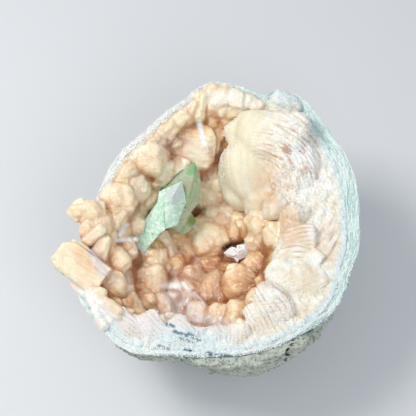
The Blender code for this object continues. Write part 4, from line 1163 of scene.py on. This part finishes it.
def addSmall(field, x, y, spots, tops, fill, inward):  # lesser crystals in the ground between the bundles
    rng = np.random.default_rng(77)
    placed = 0
    while placed < crust["small"]:
        i, j = rng.integers(0, x.shape[0]), rng.integers(0, x.shape[1])
        if inward[i, j] < 1 * mm or tops[i, j] > fill[i, j] + 1.5 * mm:
            continue
        placed += 1
        half = np.array((rng.uniform(2.2, 4.4), rng.uniform(1.8, 3.2), rng.uniform(2.0, 3.0))) * mm
        towards = eye - spots[i, j]
        axes = standAt(0, 0, 0, rng.uniform(-90, 90))[0]
        lift = towards / np.linalg.norm(towards) * rng.uniform(-0.8, 0.3) * mm
        middle = np.array((x[i, j], y[i, j], fill[i, j])) + lift
        kind = "ball" if rng.uniform() < 0.75 else "block"
        addForm(field, newForm(kind, turned(axes, rng, 20), middle, half, rng, 5000 + placed), crust["meltLobe"])


def makeCrust():
    field = newField(crust["low"], crust["high"], crust["step"])
    for form in crustForms():
        addForm(field, form, crust["meltLobe" if form["kind"] in growth["facets"] else "meltBlock"])
    say("crust forms")
    x, y, z = columnsOf(field)
    floor = ground(x, y)
    tops = np.maximum(columnTops(field), floor)
    angle, length = aroundCentre(x, y)
    inward, fromRim = reachAt(hollowPolar, angle) - length, reachAt(rimPolar, angle) - length
    fill = np.maximum(softened(tops, crust["fillSoft"]) - crust["fillDepth"], floor + bowl["lining"] * 0.8)
    spots = np.stack((x, y, fill), -1)
    fill += layered(spots, *crust["fillRelief"]) * mm
    fill = floor - 1 * mm + (fill - floor + 1 * mm) * unit(inward / (4 * mm) + 0.2)
    slope = 1 / np.sqrt(1 + np.sum(np.square(np.gradient(fill, field["step"])), 0))
    over = ((z - fill[..., None]) * slope[..., None]).astype(np.float32)
    over[inward < -1.5 * mm] = 5 * mm
    field["value"] = melt(field["value"], over, crust["meltFill"])
    addSmall(field, x, y, spots, tops, fill, inward)
    for corners in apophylliteCorners + quartzCorners:
        carve(field, corners, bowl["gap"])
    field["value"] = np.maximum(field["value"], (floor - crust["under"])[..., None] - z)
    bare = unit(swell(angle, 125, 46) * 3)  # the crust stops short of the rim at the back left
    cap = rimHeight(x, y) + 0.3 * mm + (fromRim - 5.2 * mm) * 1.7 + (1 - bare) * 60 * mm
    cap += layered(spots, *crust["rimRelief"]) * mm
    field["value"] = np.maximum(field["value"], (z - cap[..., None]) * 0.6)
    piece = skinOf("stilbite_bundles", field)
    say(f"crust skin, {len(piece.data.polygons)} faces")
    thinUnderside(piece)
    paintCrust(piece, field, fill, softened(np.maximum(tops, fill), 9))
    return piece


def paintCrust(piece, field, fill, softTops):
    points, normals = vectorsOf(piece), vectorsOf(piece, "normal")
    owner, away, following, lobe, local = nearestForms(field, points)
    fillAway = abs(points[:, 2] - lookUp(field, fill, points))
    onFill = fillAway < away
    # painted shade: the seam and crease masks darken the colour where crystals meet each other, the fill and their
    # own lobes
    seam = np.exp(-np.minimum(following, fillAway) / crust["seam"])
    creases = np.exp(-lobe / (0.5 * crust["seam"]))
    bladed = np.array([form["kind"] not in growth["facets"] for form in field["forms"]])[owner]
    relief = waves(local * (0.1, 1, 1), 1.9 * mm, 61) * np.where(bladed, 0.1, 0.05)
    relief += waves(local * (1, 0.2, 0.2), 2.4 * mm, 62) * 0.04 + waves(local, 5 * mm, 63) * 0.16
    relief += waves(points, 2.2 * mm, 65) * 0.07
    relief = relief * (1 - unit(seam + creases)) - grooved(field, owner, local) * 0.35
    cleft = stroked(points, cleftStrokes)
    points += normals * (relief * mm)[:, None] + forward * (cleft * crust["cleft"])[:, None]
    putPoints(piece, points)
    tint = np.array([form["tint"] for form in field["forms"]])[owner]
    family = np.array([np.random.default_rng(form["family"]).uniform(-1, 1) for form in field["forms"]])[owner]
    across, up = seenPlace(points)
    # painted shade: deep grows with the height below the softened tops and with the regional shade patches, so the
    # colour darkens down in the hollow
    deep = (lookUp(field, softTops, points) - points[:, 2]) / (7 * mm) + 0.22
    for patch in crust["tan"]:
        deep += patched(across, up, (patch,))
    palePlaces = stroked(points, paleStrokes)
    deep -= 0.7 * palePlaces
    # painted shade on the flanks of crystals near their neighbours
    sides = np.exp(-np.minimum(following, fillAway) / crust["sides"])
    angle, length = aroundCentre(points[:, 0], points[:, 1])
    fromRim = reachAt(rimPolar, angle) - length
    rimWhite = unit(swell(angle, 124, 46) * 3) * unit((6.0 * mm - fromRim) / (2 * mm))
    frontWhite = unit(swell(angle, -90, 70) * 2) * unit((11 * mm - fromRim) / (5 * mm)) * 0.8
    behind = unit(1.5 - hullDistance(points) / crust["near"])  # painted light: pale where it lies against the clear crystal, standing for light that comes through it
    # painted shade in the crevices, stronger where the crust lies low, and along the clefts
    low = unit(np.maximum(seam, onFill) + (deep - 0.3)) * (1 - behind)
    orange = stroked(points, orangeStrokes) * np.maximum(low, 0.35) * 0.9
    # deep is painted shade mixed with tone that differs at random from crystal to crystal; the seam, crease and
    # orange masks are painted shade, the mask by the clear crystal is painted light, the dark strokes are a painted
    # shadow and the white strokes hold painted highlights
    values = {
        "seam": unit(np.maximum(seam, onFill * 0.75) * unit(0.35 + deep)), "crease": unit(creases) * 0.6,
        "deep": unit(deep * 0.7 + sides * 0.42 + 0.12 * tint + 0.14 * family), "fibre": local,
        "lilac": stroked(points, lilacStrokes), "pale": unit(np.maximum(family * 0.7, palePlaces)),
        "pink": unit(-family - 0.4) * 0.5, "behind": behind * 0.7,
        "white": np.max((stroked(points, whiteStrokes), rimWhite, frontWhite), 0),
        "grainy": np.maximum(rimWhite, frontWhite * 0.8),
        "orange": np.maximum(orange, cleft * 0.3 * (1 - behind)),
        "dark": unit(stroked(points, darkStrokes) * (1 + 0.35 * waves(points, 1.6 * mm, 64))),
    }
    for name, value in values.items():
        store(piece, name, value)
    piece.data.shade_smooth()
    dress(piece, "stilbite_crust", "stilbite_crust", bundleMaterial())


def lookUp(field, sheet, points):
    i, j = (np.clip(((points[:, axis] - field["low"][axis]) / field["step"]).round().astype(int), 0,
                    sheet.shape[axis] - 1) for axis in (0, 1))
    return sheet[i, j]


def thinUnderside(piece):  # the hidden side needs few faces
    points = vectorsOf(piece)
    under = points[:, 2] < ground(points[:, 0], points[:, 1]) - crust["under"] * 0.8
    piece.vertex_groups.new(name="under").add(np.nonzero(under)[0].tolist(), 1.0, "REPLACE")
    thin = piece.modifiers.new("thin", "DECIMATE")
    thin.vertex_group, thin.ratio = "under", 1 - 0.96 * under.mean()
    old, piece.data = piece.data, finished(piece)
    piece.modifiers.clear()
    piece.vertex_groups.clear()
    bpy.data.meshes.remove(old)


# Corners of each crystal: millimetres across, up and near.
apophylliteCorners = (
    ((-7.3, 25.8, -12), (-28, 7.5, -17), (-14, 18.5, -8), (-8.5, 16.3, -8), (-4, 14, -14),
     (-5, 3, -17), (-11, -4, -14), (-12, 3, -9), (-28, -2, -19), (-24, 14, -23),
     (-6, 20, -27), (-5, 5, -34), (-14, -10, -33), (-27, -6, -26), (-25, 7, -26)),
    ((-14.6, 15.1, -5), (-27.4, 9.2, -9), (-28.6, 2, -9), (-20, 6, -2), (-13.2, 9, -7),
     (-12.3, 3.2, -8), (-17.4, -9.6, -8), (-24.6, -12, -7), (-29.5, -5, -10), (-20, 5, -28),
     (-16, -6, -30), (-28, -8, -26)),
    ((-28, 3.6, -8), (-31.6, -3.8, -9), (-35.4, -6.6, -12), (-36.6, -12.5, -12), (-28, -15, -7),
     (-24, -12, -6), (-25, -2, -5), (-24, -6, -28), (-33, -12, -23)),
    ((-36, -8.5, -13), (-38.8, -15.7, -14), (-41.4, -21.8, -16), (-40.3, -26.3, -17),
     (-37.4, -27, -16), (-34, -21.8, -12), (-27.4, -15, -8), (-29, -9, -8),
     (-30, -12, -24), (-37, -21, -21)),
    ((-19.5, -4, -10), (-20.5, -10.8, -12), (-16.8, -12.6, -14), (-13.8, -14.8, -17),
     (-10.4, -13, -18), (-6.2, -7.4, -20), (-9.5, -2.5, -15), (-13, 0, -10),
     (-16, -10, -34), (-9, -8, -34)),
)
quartzCorners = (
    ((8.6, -25.2, -27), (13, -21.6, -24), (15, -26.8, -20), (19, -23, -18), (22, -27, -20),
     (18, -29, -21), (11, -27.4, -26), (14, -25, -31), (19, -25, -28)),
    ((22.4, -19.4, -21), (16, -21, -22), (17, -26, -19), (23.5, -24.5, -20), (19, -23, -28)),
    ((26.8, -26.4, -19), (20, -21.5, -21), (20.5, -26, -19), (21, -25, -26)),
    ((16.4, -30.6, -21), (13, -26, -23), (19, -26, -20), (16.5, -26, -29)),
)


def hullOf(corners):
    shape = bmesh.new()
    for point in atNear(*np.array(corners, float).T):
        shape.verts.new(point)
    made = bmesh.ops.convex_hull(shape, input=shape.verts)
    spare = [v for v in made["geom_interior"] if isinstance(v, bmesh.types.BMVert)]
    bmesh.ops.delete(shape, geom=spare, context="VERTS")
    bmesh.ops.recalc_face_normals(shape, faces=shape.faces)
    mesh = bpy.data.meshes.new("hull")
    shape.to_mesh(mesh)
    shape.free()
    return newObject("hull", mesh)


def planesOf(corners):  # a place on each face and its way out, and the corners
    hull = hullOf(corners)
    planes = [(np.array(face.center), np.array(face.normal)) for face in hull.data.polygons]
    points = vectorsOf(hull)
    bpy.data.objects.remove(hull)
    return planes, points


def outsideOf(planes, points):
    return np.max([(points - at) @ way for at, way in planes], 0)


def hullDistance(points):  # how far outside the nearest green crystal, 1 m at most
    away = [outsideOf(planesOf(corners)[0], points) for corners in apophylliteCorners]
    return np.minimum(np.min(away, 0), 1.0)


def carve(field, corners, gap):  # room for a crystal of another mineral
    planes, points = planesOf(corners)
    low = np.maximum(((points.min(0) - field["low"] - 2 * mm) / field["step"]).astype(int), 0)
    high = ((points.max(0) - field["low"] + 2 * mm) / field["step"]).astype(int) + 2
    high = np.minimum(high, field["value"].shape)
    here = tuple(slice(a, b) for a, b in zip(low, high))
    outside = outsideOf(planes, gridPoints(field, low, high))
    field["value"][here] = np.maximum(field["value"][here], gap - outside)


def makeClear(name, corners, node, slot, materials, frosted=()):
    hulls = [hullOf(one) for one in corners]
    piece = unite(name, hulls[0], hulls[1:])
    shadeBy(piece, 1)
    dress(piece, node, slot, *materials)
    planes = [plane for one in frosted for plane in planesOf(corners[one])[0]]
    for face in piece.data.polygons if frosted else ():
        spot, facing = np.array(face.center), np.array(face.normal)
        face.material_index = int(any(abs((spot - at) @ way) < 1e-5 and facing @ way > 0.99 for at, way in planes))


stage = {
    "floor": 3.0, "floorColour": (0.70, 0.71, 0.73, 1.0), "sky": (0.90, 0.95, 1.0, 1.0), "skyStrength": 0.53,
    "sensor": 36.0, "lit": (0, 0, 0.07),
    "lights": (("key light", (-0.45, 0.10, 0.75), 4.1, 0.32, (1.0, 0.98, 0.95)),
               ("fill light", (0.25, -0.60, 0.75), 2.2, 0.50, (0.92, 0.97, 1.0))),
}


def stand(name, data, spot, way):
    holder = newObject(name, data)
    holder.location = Vector(spot)
    holder.rotation_euler = Vector(way).to_track_quat("-Z", "Y").to_euler()
    return holder


def makeStage():
    size, scene = stage["floor"], bpy.context.scene
    corners = [(-size, -size, 0), (size, -size, 0), (size, size, 0), (-size, size, 0)]
    floor = newPiece("floor", corners, [(0, 1, 2, 3)])
    floor.data.materials.append(newMaterial("pale floor", Roughness=0.7, Base_Color=stage["floorColour"])[0])
    scene.world = bpy.data.worlds.new("studio")
    scene.world.use_nodes = True
    sky = scene.world.node_tree.nodes["Background"].inputs
    sky[0].default_value, sky[1].default_value = stage["sky"], stage["skyStrength"]
    for name, spot, power, width, colour in stage["lights"]:
        lamp = bpy.data.lights.new(name, "AREA")
        lamp.energy, lamp.size, lamp.color = power, width, colour
        stand(name, lamp, spot, Vector(stage["lit"]) - Vector(spot))
    camera = bpy.data.cameras.new("camera")
    camera.sensor_width = stage["sensor"]
    camera.lens = stage["sensor"] * view["distance"] / view["width"]
    scene.camera = stand("camera", camera, eye, forward)
    scene.view_settings.view_transform = "Standard"


makeStage()
makeBasalt()
say("basalt")
sugar(makeRind(), "rind_sugar", "chalcedony_rind", "chalcedony")
say("rind")
sugar(makeRim(), "rim_sugar", "stilbite_wall", "stilbite_wall")
sugar(makeGrowths(), "wall_sugar", "stilbite_wall", "stilbite_wall")
say("wall")
sugar(makeCrust(), "crust_sugar", "stilbite_crust", "stilbite_crust")
say("crust")
makeClear("apophyllite_crystals", apophylliteCorners, "apophyllite_cluster", "apophyllite",
          (clearMaterial(), frostMaterial()), (1, 2, 3))
makeClear("quartz_crystals", quartzCorners, "quartz_cluster", "quartz", (quartzMaterial(),))
say("clear crystals")

total = 0
for piece in bpy.data.objects:
    if piece.type == "MESH" and not piece.hide_render:
        piece.data.calc_loop_triangles()
        print("[vug]", piece.name, len(piece.data.loop_triangles))
        total += len(piece.data.loop_triangles)
print("[vug] triangles", total)
